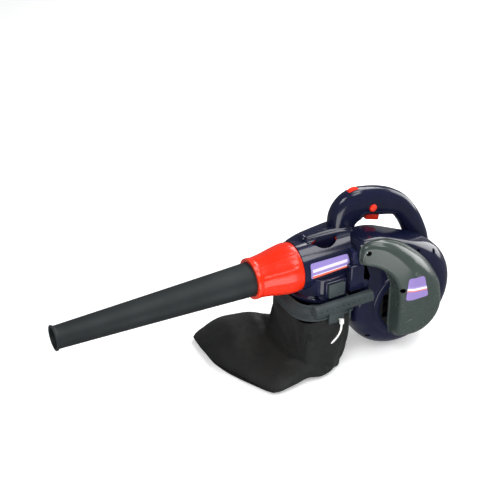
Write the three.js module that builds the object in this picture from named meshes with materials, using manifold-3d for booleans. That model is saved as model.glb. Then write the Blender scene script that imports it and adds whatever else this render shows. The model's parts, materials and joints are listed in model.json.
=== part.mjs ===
// Corded leaf blower with a collecting bag, standing on its fan housing.
// Millimetres, +Z up. The nozzle points towards -X and the air intake faces -Y.
// Pieces are drawn round the fan shaft (X = Z = 0) and the outlet pipe (Y = 0), then moved as one
// group so that the origin is the middle of the bottom of the bounding box.
import * as THREE from 'three';
import { mergeVertices } from 'three/addons/utils/BufferGeometryUtils.js';
import { ConvexGeometry } from 'three/addons/geometries/ConvexGeometry.js';
import Module from 'manifold-3d';

const wasm = await Module();
wasm.setup();

// ---- driving dimensions ----
const GAP = 0.3;                // play between pieces that touch
const WALL = 3;                 // moulded wall of the shells
const SPLIT_Y = 15;             // parting plane of the two housing shells

const drumRadius = 115.5;       // fan chamber, outside
const drumNearY = -62;          // flat near face of the fan chamber
const drumShoulder = 36;        // rounding from the near face to the rim
const chamberFarY = -2;         // the full radius ends here
const bayRadius = 98;           // motor bay behind the fan chamber
const bayFarY = 42;             // far face of the motor bay
const eyeRadius = 60;           // air intake in the near face
const footHalf = 15;            // flat foot under the drum, half its length

const outletRadius = 48;        // outlet pipe, outside
const outletLift = 40.5;        // outlet crest above the drum crest
const outletReach = 100.5;      // open end of the outlet pipe, ahead of the drum
const outletBack = 15.5;        // the pipe starts to close this far inside the drum
const scrollAngle = 66;         // the scroll leaves the drum circle here, degrees

const tubeLength = 392;         // nozzle tube
const tubeRootRadius = 32;
const tubeTipRadius = 20.5;
const tubeWall = 2.2;
const tubeLap = 20;             // length of the tube inside the adapter

const adapterLength = 89;
const adapterFrontRadius = 37;
const spigotLength = 100;       // adapter collar inside the outlet pipe

const gripWidth = 36;           // handle, across Y
const handleRise = 106;         // handle crest above the drum crest

const portReach = 44.5;         // leaf port under the outlet pipe, ahead of the drum
const portRadius = 63;
const portHole = 38;
const portDepth = 10;           // port plate below the outlet pipe
const collarHeight = 29;
const collarFlare = 8;          // the collar widens by this from top to bottom
const collarLength = 116;
const collarLead = 74;          // front of the collar, ahead of the middle of the port
const collarHalfY = 70;

const bagLength = 189;          // part of the bag that lies on the floor, along X
const bagReach = 192;           // front of the bag, ahead of the middle of the port
const bagNearY = -72;
const bagFarY = 165;
const bagThickness = 42;

const coverHeight = 43;         // intake cover above the near face
const coverLap = 8;             // the cover laps this far over the rim of the intake

const motorRadius = 40;
const motorLength = 40;
const shaftRadius = 4;
const bearingRadius = 11;
const bearingWidth = 7;
const impellerRadius = 92;
const impellerWidth = 40;
const bladeCount = 12;

const screwHead = 3.6;          // pan head radius of every housing screw
const screwShank = 1.6;
const bossRadius = 6.5;

// ---- places worked out from the dimensions ----
const floorZ = -drumRadius;
const outletTop = drumRadius + outletLift;
const outletZ = outletTop - outletRadius;
const outletBottom = outletZ - outletRadius;
const plateZ = outletBottom - portDepth;
const outletFrontX = -drumRadius - outletReach;
const outletRootX = -drumRadius + outletBack;
const portX = -drumRadius - portReach;
const collarFrontX = portX - collarLead;
const collarRearX = collarFrontX + collarLength;
const bagFrontX = portX - bagReach;
const coverRadius = eyeRadius + coverLap;
const collarTopZ = plateZ - GAP;
const collarBottomZ = collarTopZ - collarHeight;
const gripNearY = SPLIT_Y - gripWidth / 2;
const gripFarY = gripNearY + gripWidth;
const adapterRearRadius = outletRadius - 2;
const adapterRearX = outletFrontX - GAP;
const adapterFrontX = adapterRearX - adapterLength;
const tubeRootX = adapterFrontX + tubeLap;
const tubeTipX = tubeRootX - tubeLength;
const coverNearY = drumNearY - coverHeight;

// ---- colours ----
const finish = (color, roughness, metalness = 0) => ({ color, roughness, metalness });
const navy = finish(0x1a1c38, 0.22);
const coverGrey = finish(0x4a5552, 0.25);
const collarGrey = finish(0x50585a, 0.45);
const charcoal = finish(0x2a2f31, 0.6);
const flame = finish(0xf63a1c, 0.25);
const black = finish(0x111214, 0.5);
const fabric = finish(0x1e211f, 0.95);
const white = finish(0xf2f2f0, 0.4);
const lavender = finish(0xa793cf, 0.45);
const steel = finish(0x9a9ea2, 0.35, 0.9);
const copper = finish(0xb26a3c, 0.35, 0.9);
const carbon = finish(0x232323, 0.7);
const amber = finish(0xc9a24a, 0.5);

// ---- solids ----
const group = new THREE.Group();

// a closed geometry as a manifold, with its faces turned outwards
function solid(geometry) {
  const bare = geometry.index ? geometry.toNonIndexed() : geometry.clone();
  for (const name of Object.keys(bare.attributes)) {
    if (name !== 'position') bare.deleteAttribute(name);
  }
  const merged = mergeVertices(bare, 1e-4);
  const vertProperties = new Float32Array(merged.attributes.position.array);
  const triVerts = new Uint32Array(merged.index.array);
  const make = () => new wasm.Manifold(new wasm.Mesh({ numProp: 3, vertProperties, triVerts }));
  const corner = (i) => new THREE.Vector3().fromArray(vertProperties, 3 * triVerts[i]);
  let volume = 0;
  for (let i = 0; i < triVerts.length; i += 3) {
    volume += corner(i).dot(corner(i + 1).cross(corner(i + 2)));
  }
  if (volume > 0) return make();
  for (let i = 0; i < triVerts.length; i += 3) {
    [triVerts[i], triVerts[i + 1]] = [triVerts[i + 1], triVerts[i]];
  }
  return make();
}

const join = (...parts) => parts.reduce((all, part) => all.add(part));
const cut = (whole, ...parts) => parts.reduce((left, part) => left.subtract(part), whole);

// names a solid, gives it its finish and puts it in the group
function piece(name, manifold, look) {
  const mesh = manifold.getMesh();
  const geometry = new THREE.BufferGeometry();
  geometry.setAttribute('position', new THREE.BufferAttribute(new Float32Array(mesh.vertProperties), 3));
  geometry.setIndex(new THREE.BufferAttribute(new Uint32Array(mesh.triVerts), 1));
  geometry.computeVertexNormals();
  const node = new THREE.Mesh(geometry, new THREE.MeshStandardMaterial(look));
  node.name = name;
  group.add(node);
}

const box = (x0, x1, y0, y1, z0, z1) =>
  solid(new THREE.BoxGeometry(x1 - x0, y1 - y0, z1 - z0)
    .translate((x0 + x1) / 2, (y0 + y1) / 2, (z0 + z1) / 2));

// a turned solid about the Y axis, from [radius, y] points that start and end on the axis
const latheY = (points, sides = 48, x = 0, z = 0) =>
  solid(new THREE.LatheGeometry(points.map(([r, y]) => new THREE.Vector2(r, y)), sides)
    .translate(x, 0, z));

// a turned solid about an X axis, from [radius, x] points
const latheX = (points, sides, y, z) =>
  solid(new THREE.LatheGeometry(points.map(([r, x]) => new THREE.Vector2(r, x)), sides)
    .rotateZ(-Math.PI / 2).translate(0, y, z));

const rodY = (r, y0, y1, x = 0, z = 0, sides = 24) =>
  latheY([[0, y0], [r, y0], [r, y1], [0, y1]], sides, x, z);

const rodX = (r, x0, x1, y, z, sides = 32) =>
  latheX([[0, x0], [r, x0], [r, x1], [0, x1]], sides, y, z);

const rodZ = (r, z0, z1, x, y, sides = 32) =>
  solid(new THREE.CylinderGeometry(r, r, z1 - z0, sides).rotateX(Math.PI / 2)
    .translate(x, y, (z0 + z1) / 2));

const ringY = (inner, outer, y0, y1, sides = 48) =>
  solid(new THREE.LatheGeometry([[inner, y0], [outer, y0], [outer, y1], [inner, y1], [inner, y0]]
    .map(([r, y]) => new THREE.Vector2(r, y)), sides));

// an outline in X and Z, given thickness from y0 to y1, with rounded or plain edges
function plateXZ(outline, y0, y1, bevel = 0) {
  const shape = new THREE.Shape(outline.map(([x, z]) => new THREE.Vector2(x, z)));
  const geometry = new THREE.ExtrudeGeometry(shape, {
    depth: y1 - y0 - 2 * bevel,
    bevelEnabled: bevel > 0,
    bevelThickness: bevel,
    bevelSize: bevel,
    bevelOffset: -bevel,
    bevelSegments: 2,
  });
  return solid(geometry.rotateX(Math.PI / 2).translate(0, y1 - bevel, 0));
}

// points along a smooth curve through the given [x, z] points
const smooth = (points, count) =>
  new THREE.SplineCurve(points.map(([x, z]) => new THREE.Vector2(x, z)))
    .getSpacedPoints(count).map((p) => [p.x, p.y]);

// points of an arc about (cx, cz), angles in degrees
function arc(cx, cz, r, from, to, steps) {
  return Array.from({ length: steps + 1 }, (_, i) => {
    const a = THREE.MathUtils.degToRad(from + (to - from) * i / steps);
    return [cx + r * Math.cos(a), cz + r * Math.sin(a)];
  });
}

// a closed outline moved inwards by a distance, corner by corner; it runs anticlockwise
function inset(outline, distance) {
  return outline.map(([x, z], i) => {
    const [ax, az] = outline.at(i - 1);
    const [bx, bz] = outline[(i + 1) % outline.length];
    const before = new THREE.Vector2(x - ax, z - az).normalize();
    const after = new THREE.Vector2(bx - x, bz - z).normalize();
    const along = before.clone().add(after).normalize();
    const reach = distance / Math.max(0.5, along.dot(after));
    return [x - along.y * reach, z + along.x * reach];
  });
}

// the hull of flat rings, each [outline, z]
const loftZ = (...rings) => solid(new ConvexGeometry(rings.flatMap(([outline, z]) =>
  outline.map(([x, y]) => new THREE.Vector3(x, y, z)))));

// a rectangle with its own radius at the front (-X) and the rear (+X) corners
function roundedRectangle(x0, x1, y0, y1, front, rear, steps = 6) {
  return [
    ...arc(x1 - rear, y1 - rear, rear, 0, 90, steps),
    ...arc(x0 + front, y1 - front, front, 90, 180, steps),
    ...arc(x0 + front, y0 + front, front, 180, 270, steps),
    ...arc(x1 - rear, y0 + rear, rear, 270, 360, steps),
  ];
}

// a coil spring along Z, closed at both ends
function coilSpring(x, y, z0, z1, radius, wire, turns) {
  const wound = new THREE.CatmullRomCurve3(Array.from({ length: turns * 10 + 1 }, (_, i) => {
    const a = i * Math.PI / 5;
    return new THREE.Vector3(x + radius * Math.cos(a), y + radius * Math.sin(a),
      z0 + wire + (z1 - z0 - 2 * wire) * i / (turns * 10));
  }));
  const section = new THREE.Shape().absarc(0, 0, wire, 0, 2 * Math.PI);
  return solid(new THREE.ExtrudeGeometry(section, {
    curveSegments: 3, steps: turns * 10, extrudePath: wound,
  }));
}

// ---- housing shells ----
// the fan chamber and the motor bay, turned about the shaft
function drum(w) {
  return latheY([
    [0, drumNearY + w],
    ...arc(drumRadius - drumShoulder, drumNearY + drumShoulder, drumShoulder - w, -90, 0, 5),
    [drumRadius - w, chamberFarY],
    [bayRadius + 7 - w, SPLIT_Y - 4],
    [bayRadius - w, SPLIT_Y + 15],
    [bayRadius - 10 - w, bayFarY - w],
    [0, bayFarY - w],
  ], 48);
}

// the wall of the scroll, running straight from the drum circle to the outlet crest
function scroll(w) {
  const a = THREE.MathUtils.degToRad(scrollAngle);
  const touch = [drumRadius * Math.cos(a), drumRadius * Math.sin(a)];
  const crestX = touch[0] - (outletTop - touch[1]) * Math.tan(a);
  const rootZ = outletBottom + 4;
  const outline = [
    touch,
    [crestX, outletTop],
    [outletRootX - 14, outletTop],
    [outletRootX - 14, rootZ],
    [-Math.sqrt(drumRadius ** 2 - rootZ ** 2) + 6, rootZ],
    [0, 0],
  ];
  return plateXZ(inset(outline, w), drumNearY + w, chamberFarY + 5 - w, 8 - w);
}

const outlet = (w) => latheX([
  [0, outletFrontX - w],
  [outletRadius - w, outletFrontX - w],
  [outletRadius - w, outletRootX],
  [outletRadius - 4 - w, outletRootX + 18 - w],
  [outletRadius - 18 - w, outletRootX + 34 - w],
  [0, outletRootX + 42 - w],
], 32, 0, outletZ);

// the fairing beside the scroll, between the outlet pipe and the intake
const throat = (w) => plateXZ(inset([
  [portX + 31, outletBottom - 2],
  [portX + 70, outletBottom - 2],
  [portX + 78, outletBottom + 22],
  [portX + 66, outletZ + 4],
  [portX + 31, outletZ + 4],
], w), drumNearY + w, drumNearY + 40, 5 - w);

// handle: the bow rises from the outlet, runs down over the grip and into the drum
const crestZ = drumRadius + handleRise;
const bowOuter = smooth([
  [95, crestZ - 163], [94, crestZ - 149], [86, crestZ - 120], [66, crestZ - 79],
  [38, crestZ - 41], [2, crestZ - 15], [-40, crestZ], [-78, crestZ + 5],
  [-111, crestZ - 5], [-130, crestZ - 32], [-134, crestZ - 70],
], 28);
const bowInner = smooth([
  [-8, crestZ - 67], [8, crestZ - 73], [25, crestZ - 96], [39, crestZ - 124], [50, crestZ - 163],
], 10);
const boxFloorZ = crestZ - 63;          // underside of the switch box
const triggerRear = [-24, crestZ - 63];
const triggerFront = [-57, crestZ - 54];
const handleOutline = [
  ...bowOuter,
  [-134, outletZ + 20],
  [-80, outletZ + 20],
  [-80, boxFloorZ],
  [-66, boxFloorZ],
  triggerFront,
  triggerRear,
  ...bowInner,
];
const handle = (w) => plateXZ(inset(handleOutline, w), gripNearY + w, gripFarY - w);

// gusset that carries the parting line up to the front of the handle
const gusset = plateXZ([
  [outletFrontX + 2, outletTop - 6],
  [outletRootX + 14, outletTop - 6],
  [outletRootX + 4, outletTop + 5],
  [-130, outletTop + 8],
  [outletFrontX + 14, outletTop + 4],
], SPLIT_Y - 14, SPLIT_Y + 14, 1);

// low foot under the drum
const foot = box(-footHalf, footHalf, drumNearY + 18, chamberFarY - 4, floorZ, floorZ + 8);
const hull = join(drum(0), scroll(0), outlet(0), throat(0), handle(0), gusset, foot);
const inside = join(drum(WALL), scroll(WALL), outlet(WALL), throat(WALL), handle(WALL));

// screws that hold the two shells together: [x, z, y of the head, y where the boss starts]
const rimScrewR = drumRadius - 9.5;
const lowScrewR = drumRadius - 15.5;
const drumScrew = (degrees, r) => [
  ...arc(0, 0, r, degrees, degrees, 1)[0], drumNearY + 20, drumNearY + 4,
];
const shellScrews = [
  drumScrew(79, rimScrewR),
  drumScrew(53, rimScrewR),
  drumScrew(-18, rimScrewR),
  drumScrew(-139, lowScrewR),
  [outletFrontX + 24, outletTop + 2.5, SPLIT_Y - 10, SPLIT_Y - 14],
  [outletRootX + 3, outletTop - 3, gripNearY - 5, gripNearY - 9],
];
const bossOf = (x, z, y0, y1) => rodY(bossRadius, y0, y1, x, z, 12).intersect(hull);
const nearBosses = shellScrews.map(([x, z, headY, startY]) =>
  bossOf(x, z, startY, SPLIT_Y - GAP / 2));
const farBosses = shellScrews.map(([x, z]) => bossOf(x, z, SPLIT_Y + GAP / 2, gripFarY - 1));
const screwHoles = shellScrews.flatMap(([x, z, headY]) => [
  rodY(screwHead + GAP, drumNearY - 5, headY + GAP, x, z, 10),
  rodY(screwShank + GAP, headY, SPLIT_Y + 12, x, z, 8),
]);

const buttonX = -48;
const buttonZ = crestZ - 35;
const buttonRadius = 7.5;
const dialX = -82;
const dialZ = crestZ - 10;
const dialRadius = 18;
const dialWidth = 10;
const triggerWidth = 16;
const glandX = Math.sqrt(bayRadius ** 2 - 53 ** 2);
const glandZ = -53;
const glandRadius = 6;
const windowX = outletFrontX + 56;      // leaf-shaped window over the adapter collar
const windowLean = 18;                  // turned this far towards the near side, degrees

// the window is drawn flat and laid over the near side of the pipe crest
const windowCut = plateXZ(smooth([
  [-26, -4], [-11, 12], [8, 14], [24, 5], [28, -6], [20, -13], [2, -14], [-26, -4],
].map(([x, z]) => [windowX + x, z]), 18).slice(0, -1), 0, 60);
const windowTool = windowCut.rotate([90, 0, 0]).rotate([windowLean, 0, 0])
  .translate([0, 0, outletZ]);

const slopeEndY = drumNearY - 9;        // crown of the intake cover at its upper end
// slots of the intake grille, counted from the front; the lower screw passes through one
const coverWallX = -36;                 // steep inner wall of the intake cover
const coverScrews = [[-99, 141, slopeEndY + 4], [coverWallX + 7, 24, drumNearY - 24]];
const slotPitch = eyeRadius / 3;
const slotX = (i) => coverWallX + 10 + (i - 1) * slotPitch;

const openings = [
  rodY(eyeRadius, drumNearY - 1, drumNearY + WALL + 1, 0, 0, 48),
  rodX(outletRadius - WALL, outletFrontX - 9, outletFrontX + 9, 0, outletZ),
  rodZ(portHole, plateZ - 5, outletZ, portX, 0),
  box(triggerFront[0] - GAP, triggerRear[0] + GAP, SPLIT_Y - triggerWidth / 2 - GAP,
    SPLIT_Y + triggerWidth / 2 + GAP, crestZ - 76, crestZ - 49),
  box(dialX - dialRadius - 1, dialX + dialRadius + 1, SPLIT_Y - dialWidth / 2 - GAP,
    SPLIT_Y + dialWidth / 2 + GAP, dialZ, crestZ + 12),
  rodY(buttonRadius + GAP, gripNearY - 2, gripNearY + WALL + 3, buttonX, buttonZ),
  rodX(glandRadius + GAP, glandX - 14, glandX + 60, SPLIT_Y, glandZ, 24),
];
const pilotHoles = coverScrews.map(([x, z]) =>
  rodY(screwShank + GAP, drumNearY - 1, drumNearY + 12, x, z, 8));
const motorOpening = rodY(motorRadius + 6, bayFarY - WALL - 2, bayFarY + 1);

const near = box(-1000, 1000, -1000, SPLIT_Y - GAP / 2, -1000, 1000);
const far = box(-1000, 1000, SPLIT_Y + GAP / 2, 1000, -1000, 1000);
const shell = cut(hull, inside, ...openings, ...pilotHoles, motorOpening);

piece('housing_near', cut(join(shell.intersect(near), ...nearBosses), ...screwHoles, windowTool), navy);
piece('housing_far', cut(join(shell.intersect(far), ...farBosses), ...screwHoles), navy);

// ---- outlet: adapter, nozzle tube, seal ----
const bore = outletRadius - WALL;
const spigotRadius = bore - 1;
const spigotRearX = adapterRearX + spigotLength;
const sealSeat = 1.2;
piece('tube_adapter', latheX([
  [spigotRadius - 3, spigotRearX],
  [spigotRadius, spigotRearX],
  [spigotRadius, spigotRearX - 5 + GAP],
  [spigotRadius - sealSeat - GAP, spigotRearX - 5 + GAP],
  [spigotRadius - sealSeat - GAP, spigotRearX - 8 - GAP],
  [spigotRadius, spigotRearX - 8 - GAP],
  [spigotRadius, adapterRearX],
  [adapterRearRadius, adapterRearX],
  [adapterRearRadius + 1, adapterRearX - 0.1 * adapterLength],
  [adapterRearRadius - 1, adapterRearX - 0.32 * adapterLength],
  [adapterFrontRadius + 2, adapterRearX - 0.66 * adapterLength],
  [adapterFrontRadius, adapterRearX - 0.84 * adapterLength],
  [adapterFrontRadius + 1, adapterFrontX],
  [tubeRootRadius + GAP, adapterFrontX],
  [tubeRootRadius + GAP, tubeRootX + GAP],
  [tubeRootRadius - tubeWall, tubeRootX + GAP],
  [tubeRootRadius - tubeWall, tubeRootX + 6],
  [spigotRadius - 3, tubeRootX + 34],
  [spigotRadius - 3, spigotRearX],
], 32, 0, outletZ), flame);

const taper = (tubeTipRadius - tubeRootRadius) / (tubeLength - tubeLap);
const tubeRadiusAt = (x) => tubeRootRadius + taper * Math.max(0, adapterFrontX - x);
piece('nozzle_tube', latheX([
  [tubeRootRadius - tubeWall, tubeRootX],
  [tubeRootRadius, tubeRootX],
  [tubeRootRadius, adapterFrontX],
  [tubeRadiusAt(tubeTipX + 6), tubeTipX + 6],
  [tubeTipRadius + 2.5, tubeTipX + 2],
  [tubeTipRadius + 2.5, tubeTipX],
  [tubeTipRadius - tubeWall, tubeTipX],
  [tubeRootRadius - tubeWall, adapterFrontX],
  [tubeRootRadius - tubeWall, tubeRootX],
], 28, 0, outletZ), charcoal);

piece('outlet_seal', latheX([
  [spigotRadius - sealSeat, spigotRearX - 8],
  [bore - GAP, spigotRearX - 8],
  [bore - GAP, spigotRearX - 5],
  [spigotRadius - sealSeat, spigotRearX - 5],
  [spigotRadius - sealSeat, spigotRearX - 8],
], 32, 0, outletZ), black);

// ---- leaf port, collar and bag ----
const latchX0 = portX - 16;
const latchX1 = portX + 18;
const latchNearY = drumNearY - 4;
const latchTopZ = outletBottom + 30;
const latchBottomZ = outletBottom + 2;
const latchDepth = 12;
const portRearX = portX + 30.5;
const portScrew = [portX - 32, plateZ + 9];
const pipeCut = rodX(outletRadius + GAP, outletFrontX - 40, 0, 0, outletZ);
const latchSwing = 2;
const latchPocket = box(latchX0 - GAP, latchX1 + GAP, latchNearY - 20,
  latchNearY + latchDepth + latchSwing, latchBottomZ - 4, latchTopZ + latchSwing);
piece('leaf_port', cut(
  join(
    rodZ(portRadius, plateZ, plateZ + 8, portX, 0),
    rodZ(portRadius - 5, plateZ, outletZ - 12, portX, 0),
    box(latchX0 - 5, latchX1 + 5, latchNearY + 4, latchNearY + 30, plateZ, latchTopZ + 4),
  ),
  pipeCut,
  rodZ(portHole, plateZ - 1, outletZ, portX, 0),
  box(portRearX, 0, -200, 200, plateZ - 1, outletZ),
  box(-400, 0, SPLIT_Y - 7, 200, outletBottom + 22, outletZ),
  latchPocket,
  rodY(screwHead + GAP, -200, -portRadius + 26, ...portScrew, 16),
  rodY(screwShank + GAP, -200, -portRadius + 42, ...portScrew, 12),
), navy);

// the button turns on an axle along its top edge; its lower edge holds the collar
const latchAxis = [latchNearY + latchDepth / 2, latchTopZ - 5];
const latchPin = 1.5;
piece('bag_latch', cut(
  box(latchX0, latchX1, latchNearY, latchNearY + latchDepth, latchBottomZ, latchTopZ),
  rodX(latchPin + GAP, latchX0 - 1, latchX1 + 1, ...latchAxis, 16),
  box(latchX0 + 3, latchX1 - 3, latchNearY + 3, latchNearY + 20, latchBottomZ + 3, latchTopZ - 11),
), collarGrey);
piece('latch_pin', rodX(latchPin, latchX0 + 1, latchX1 - 1, ...latchAxis, 16), steel);

// plan of the collar, drawn in by a distance, at one height
const collarPlan = (drawIn, z) => [
  roundedRectangle(collarFrontX + drawIn, collarRearX - drawIn, -collarHalfY + drawIn,
    collarHalfY - drawIn, 48 - drawIn, 14 - drawIn / 2), z];
const railZ = collarTopZ - 4;
const railRadius = 13;
const railY = -collarHalfY + 1;
const railX0 = collarFrontX + 18;
const railX1 = collarRearX + 31;
const lugX0 = portX - 19;
const lugX1 = portX + 13;
const lugHoleX = portX + 1;
const lugNearY = railY - 6;
const hole = 4.5;
const sideRail = (side) => join(
  rodX(railRadius, railX0, railX1, side * railY, railZ, 24)
    .intersect(box(railX0, railX1, side < 0 ? -railY : -200, side < 0 ? 200 : railY,
      railZ - 20, railZ + 20)),
  box(railX0, collarRearX - 20, side < 0 ? 42 : railY - 0.5, side < 0 ? -railY + 0.5 : -42,
    railZ - 8, railZ - 2),
);
piece('bag_collar', cut(
  join(
    loftZ(collarPlan(0, collarBottomZ), collarPlan(0, collarBottomZ + 10),
      collarPlan(collarFlare, collarTopZ)),
    sideRail(1),
    sideRail(-1),
    box(lugX0, lugX1, lugNearY, lugNearY + 5, collarBottomZ - 10, railZ - 6),
  ),
  loftZ(collarPlan(WALL, collarBottomZ - 1), collarPlan(WALL, collarBottomZ + 10),
    collarPlan(collarFlare + WALL, collarTopZ + 1)),
  box(lugHoleX, lugHoleX + hole, lugNearY - 5, lugNearY + 10, collarBottomZ - 6,
    collarBottomZ - 6 + hole),
), collarGrey);

const bagMouthZ = collarBottomZ - GAP;
const bagRearX = bagFrontX + bagLength;
const bagFloorPlan = (drawIn, z) => [
  roundedRectangle(bagFrontX + drawIn, bagRearX - drawIn, bagNearY + drawIn, bagFarY - drawIn,
    30, 20, 4), z];
const mouthPlan = (drawIn, z) => [
  roundedRectangle(collarFrontX + drawIn, collarRearX - drawIn, -collarHalfY + drawIn + 2,
    collarHalfY - drawIn, 44, 12, 4), z];
piece('collection_bag', join(
  loftZ(bagFloorPlan(10, floorZ), bagFloorPlan(0, floorZ + 14), bagFloorPlan(6, floorZ + 26),
    bagFloorPlan(26, floorZ + bagThickness)),
  loftZ(mouthPlan(0, bagMouthZ), mouthPlan(0, bagMouthZ - 30),
    [roundedRectangle(bagFrontX + 60, bagRearX - 2, bagNearY + 4, bagFarY - 60, 30, 20, 4),
      floorZ + 12]),
), fabric);

const tieHeadX = lugHoleX + hole / 2;
const tieZ = collarBottomZ - 6 + hole / 2;
const tiePath = new THREE.CatmullRomCurve3([
  [tieHeadX, lugNearY - 7, tieZ - 6], [tieHeadX - 1, lugNearY - 8, tieZ - 18],
  [tieHeadX - 8, lugNearY - 9, tieZ - 30], [tieHeadX - 22, lugNearY - 9, tieZ - 42],
].map((p) => new THREE.Vector3(...p)));
const tieSection = new THREE.Shape([[-0.7, -1.8], [0.7, -1.8], [0.7, 1.8], [-0.7, 1.8]]
  .map(([a, b]) => new THREE.Vector2(a, b)));
piece('cable_tie', join(
  box(tieHeadX - 3.5, tieHeadX + 3.5, lugNearY - 10, lugNearY - 4, tieZ - 7, tieZ + 4),
  box(tieHeadX - 1.8, tieHeadX + 1.8, lugNearY - 5, lugNearY + 5.5, tieZ - 0.7, tieZ + 0.7),
  solid(new THREE.ExtrudeGeometry(tieSection, { steps: 12, extrudePath: tiePath })),
), white);

// ---- air intake: cover, grille ----
const coverOutline = [
  ...arc(0, 0, coverRadius, -119, 20, 12),
  ...smooth([[62, 40], [46, 68], [24, 95], [-2, 120], [-34, 143], [-68, 157], [-97, 157]], 12),
  [-109, 150],
  [-109, 118],
  ...smooth([[-84, 112], [-56, 91], [-42, 68], [coverWallX - 1, 40], [coverWallX, -10]], 9),
];
// plan of the flat crown, and half way down to the rim
const crownOutline = [
  ...arc(0, 0, coverRadius - 32, -140, 20, 10),
  ...smooth([[34, 22], [25, 52], [10, 80], [-14, 105], [-42, 126], [-68, 138], [-92, 142]], 10),
  [-109, 140],
  [-109, 118],
];
const flankOutline = [
  ...arc(0, 0, coverRadius - 10, -125, 20, 10),
  ...smooth([[54, 34], [40, 63], [20, 89], [-5, 113], [-36, 136], [-67, 150], [-96, 150]], 10),
  [-109, 146],
  [-109, 118],
];
const coverDome = (w) => solid(new ConvexGeometry([
  [coverOutline, drumNearY + 10], [coverOutline, drumNearY - 8],
  [flankOutline, drumNearY - 28], [crownOutline, coverNearY],
].flatMap(([outline, y]) => inset(outline, w).map(([x, z]) => new THREE.Vector3(x, y + w, z)))));
const coverBody = (w) => plateXZ(inset(coverOutline, w), coverNearY + w, drumNearY + (w ? 5 : -GAP))
  .intersect(coverDome(w));
// the cover slopes down from its crown to its upper end
const slopeX = -12;
const slopeTool = (w) => {
  const cutShape = new THREE.Shape([
    [slopeX, coverNearY + w - 60], [slopeX, coverNearY + w], [-109, slopeEndY + w],
    [-160, slopeEndY + w], [-160, coverNearY + w - 60],
  ].map(([x, y]) => new THREE.Vector2(x, y)));
  return solid(new THREE.ExtrudeGeometry(cutShape, { depth: 400, bevelEnabled: false })
    .translate(0, 0, -200));
};
piece('intake_cover', cut(
  join(
    cut(coverBody(0), slopeTool(0)).subtract(cut(coverBody(WALL), slopeTool(WALL))),
    ...coverScrews.map(([x, z, headY]) =>
      rodY(bossRadius, headY - 3, drumNearY - GAP, x, z, 16).intersect(coverBody(0))),
  ),
  ...coverScrews.flatMap(([x, z, headY]) => [
    rodY(screwHead + GAP, -200, headY + GAP, x, z, 16),
    rodY(screwShank + GAP, headY, drumNearY + 10, x, z, 12),
  ]),
), coverGrey);

const grilleY = drumNearY + 0.5;
const slots = Array.from({ length: 5 }, (_, i) => {
  const x = slotX(i);
  const half = 0.3 * slotPitch;
  const reach = Math.sqrt((eyeRadius - 7) ** 2 - x ** 2);
  return box(x - half, x + half, grilleY - 1, grilleY + 4, -reach, reach);
});
piece('intake_grille', cut(rodY(eyeRadius - GAP, grilleY, grilleY + 3, 0, 0, 48), ...slots), black);

// ---- fan and motor ----
const plateY = 0;
const plateThickness = 4;
const bearingNearY = plateY + plateThickness + 2;
const statorY = bearingNearY + bearingWidth + 8;
const statorFarY = statorY + motorLength;
const commutatorY = statorFarY + 5;
const commutatorLength = 12;
const bearingFarY = commutatorY + commutatorLength + 6;
const motorFarY = bearingFarY + bearingWidth + 8;
const impellerY = drumNearY + 12;
const impellerFarY = impellerY + impellerWidth;
const shaftNearY = impellerY + 4;
const shaftFarY = bearingFarY + bearingWidth + 3;
const hubRadius = 14;
const airGap = 0.8;
const rotorRadius = motorRadius - 13;
const coverInner = motorRadius + 14;

const blades = Array.from({ length: bladeCount }, (_, i) =>
  box(hubRadius + 14, impellerRadius - 1, impellerY, impellerFarY - 1, -1, 1)
    .rotate([0, 360 * i / bladeCount, 0]));
piece('fan_impeller', cut(
  join(rodY(impellerRadius, impellerFarY - 3, impellerFarY, 0, 0, 48),
    rodY(hubRadius, impellerY + 8, impellerFarY), ...blades),
  rodY(shaftRadius + GAP, -200, 100, 0, 0, 24),
), black);
piece('fan_nut', cut(rodY(9, impellerY + 8 - GAP - 5, impellerY + 8 - GAP, 0, 0, 6),
  rodY(shaftRadius + GAP, -200, 100, 0, 0, 24)), steel);
piece('motor_shaft', rodY(shaftRadius, shaftNearY, shaftFarY, 0, 0, 24), steel);

piece('motor_plate', cut(
  join(
    rodY(lowScrewR - bossRadius - GAP, plateY, plateY + plateThickness, 0, 0, 40),
    rodY(bearingRadius + 5, plateY, bearingNearY + bearingWidth),
  ),
  rodY(bearingRadius + GAP, bearingNearY, 60),
  rodY(shaftRadius + 2, -20, 60),
  ...[35, 155, 215, 325].map((degrees) => {
    const [x, z] = arc(0, 0, motorRadius + 24, degrees, degrees, 1)[0];
    return rodY(9, -20, 60, x, z, 16);
  }),
), black);
const bearing = (name, y) => piece(name, ringY(shaftRadius + GAP, bearingRadius, y, y + bearingWidth, 20),
  steel);
bearing('bearing_near', bearingNearY + GAP);
bearing('bearing_far', bearingFarY);
piece('motor_stator', ringY(rotorRadius + airGap, motorRadius, statorY, statorFarY, 32), steel);
piece('motor_armature', cut(
  join(rodY(rotorRadius, statorY + 2, statorFarY - 2, 0, 0, 28),
    rodY(rotorRadius - 7, statorY - 5, statorFarY + 3, 0, 0, 24)),
  rodY(shaftRadius + GAP, -20, 200, 0, 0, 24),
), copper);
const commutatorRadius = 11;
piece('commutator', ringY(shaftRadius + GAP, commutatorRadius, commutatorY,
  commutatorY + commutatorLength, 24), copper);
for (const [name, side] of [['front', -1], ['rear', 1]]) {
  const brushY = commutatorY + commutatorLength / 2;
  const tip = commutatorRadius + 0.6;
  const from = (a, b) => (side > 0 ? [a, b] : [-b, -a]);
  piece(`brush_${name}`, box(...from(tip, tip + 14), brushY - 3, brushY + 3, -3.5, 3.5), carbon);
  piece(`brush_holder_${name}`, cut(
    box(...from(tip + 4, tip + 22), brushY - 5.5, brushY + 5.5, -6, 6),
    box(...from(tip + 3, tip + 18), brushY - 3 - GAP, brushY + 3 + GAP, -3.5 - GAP, 3.5 + GAP),
  ), amber);
}

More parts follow.
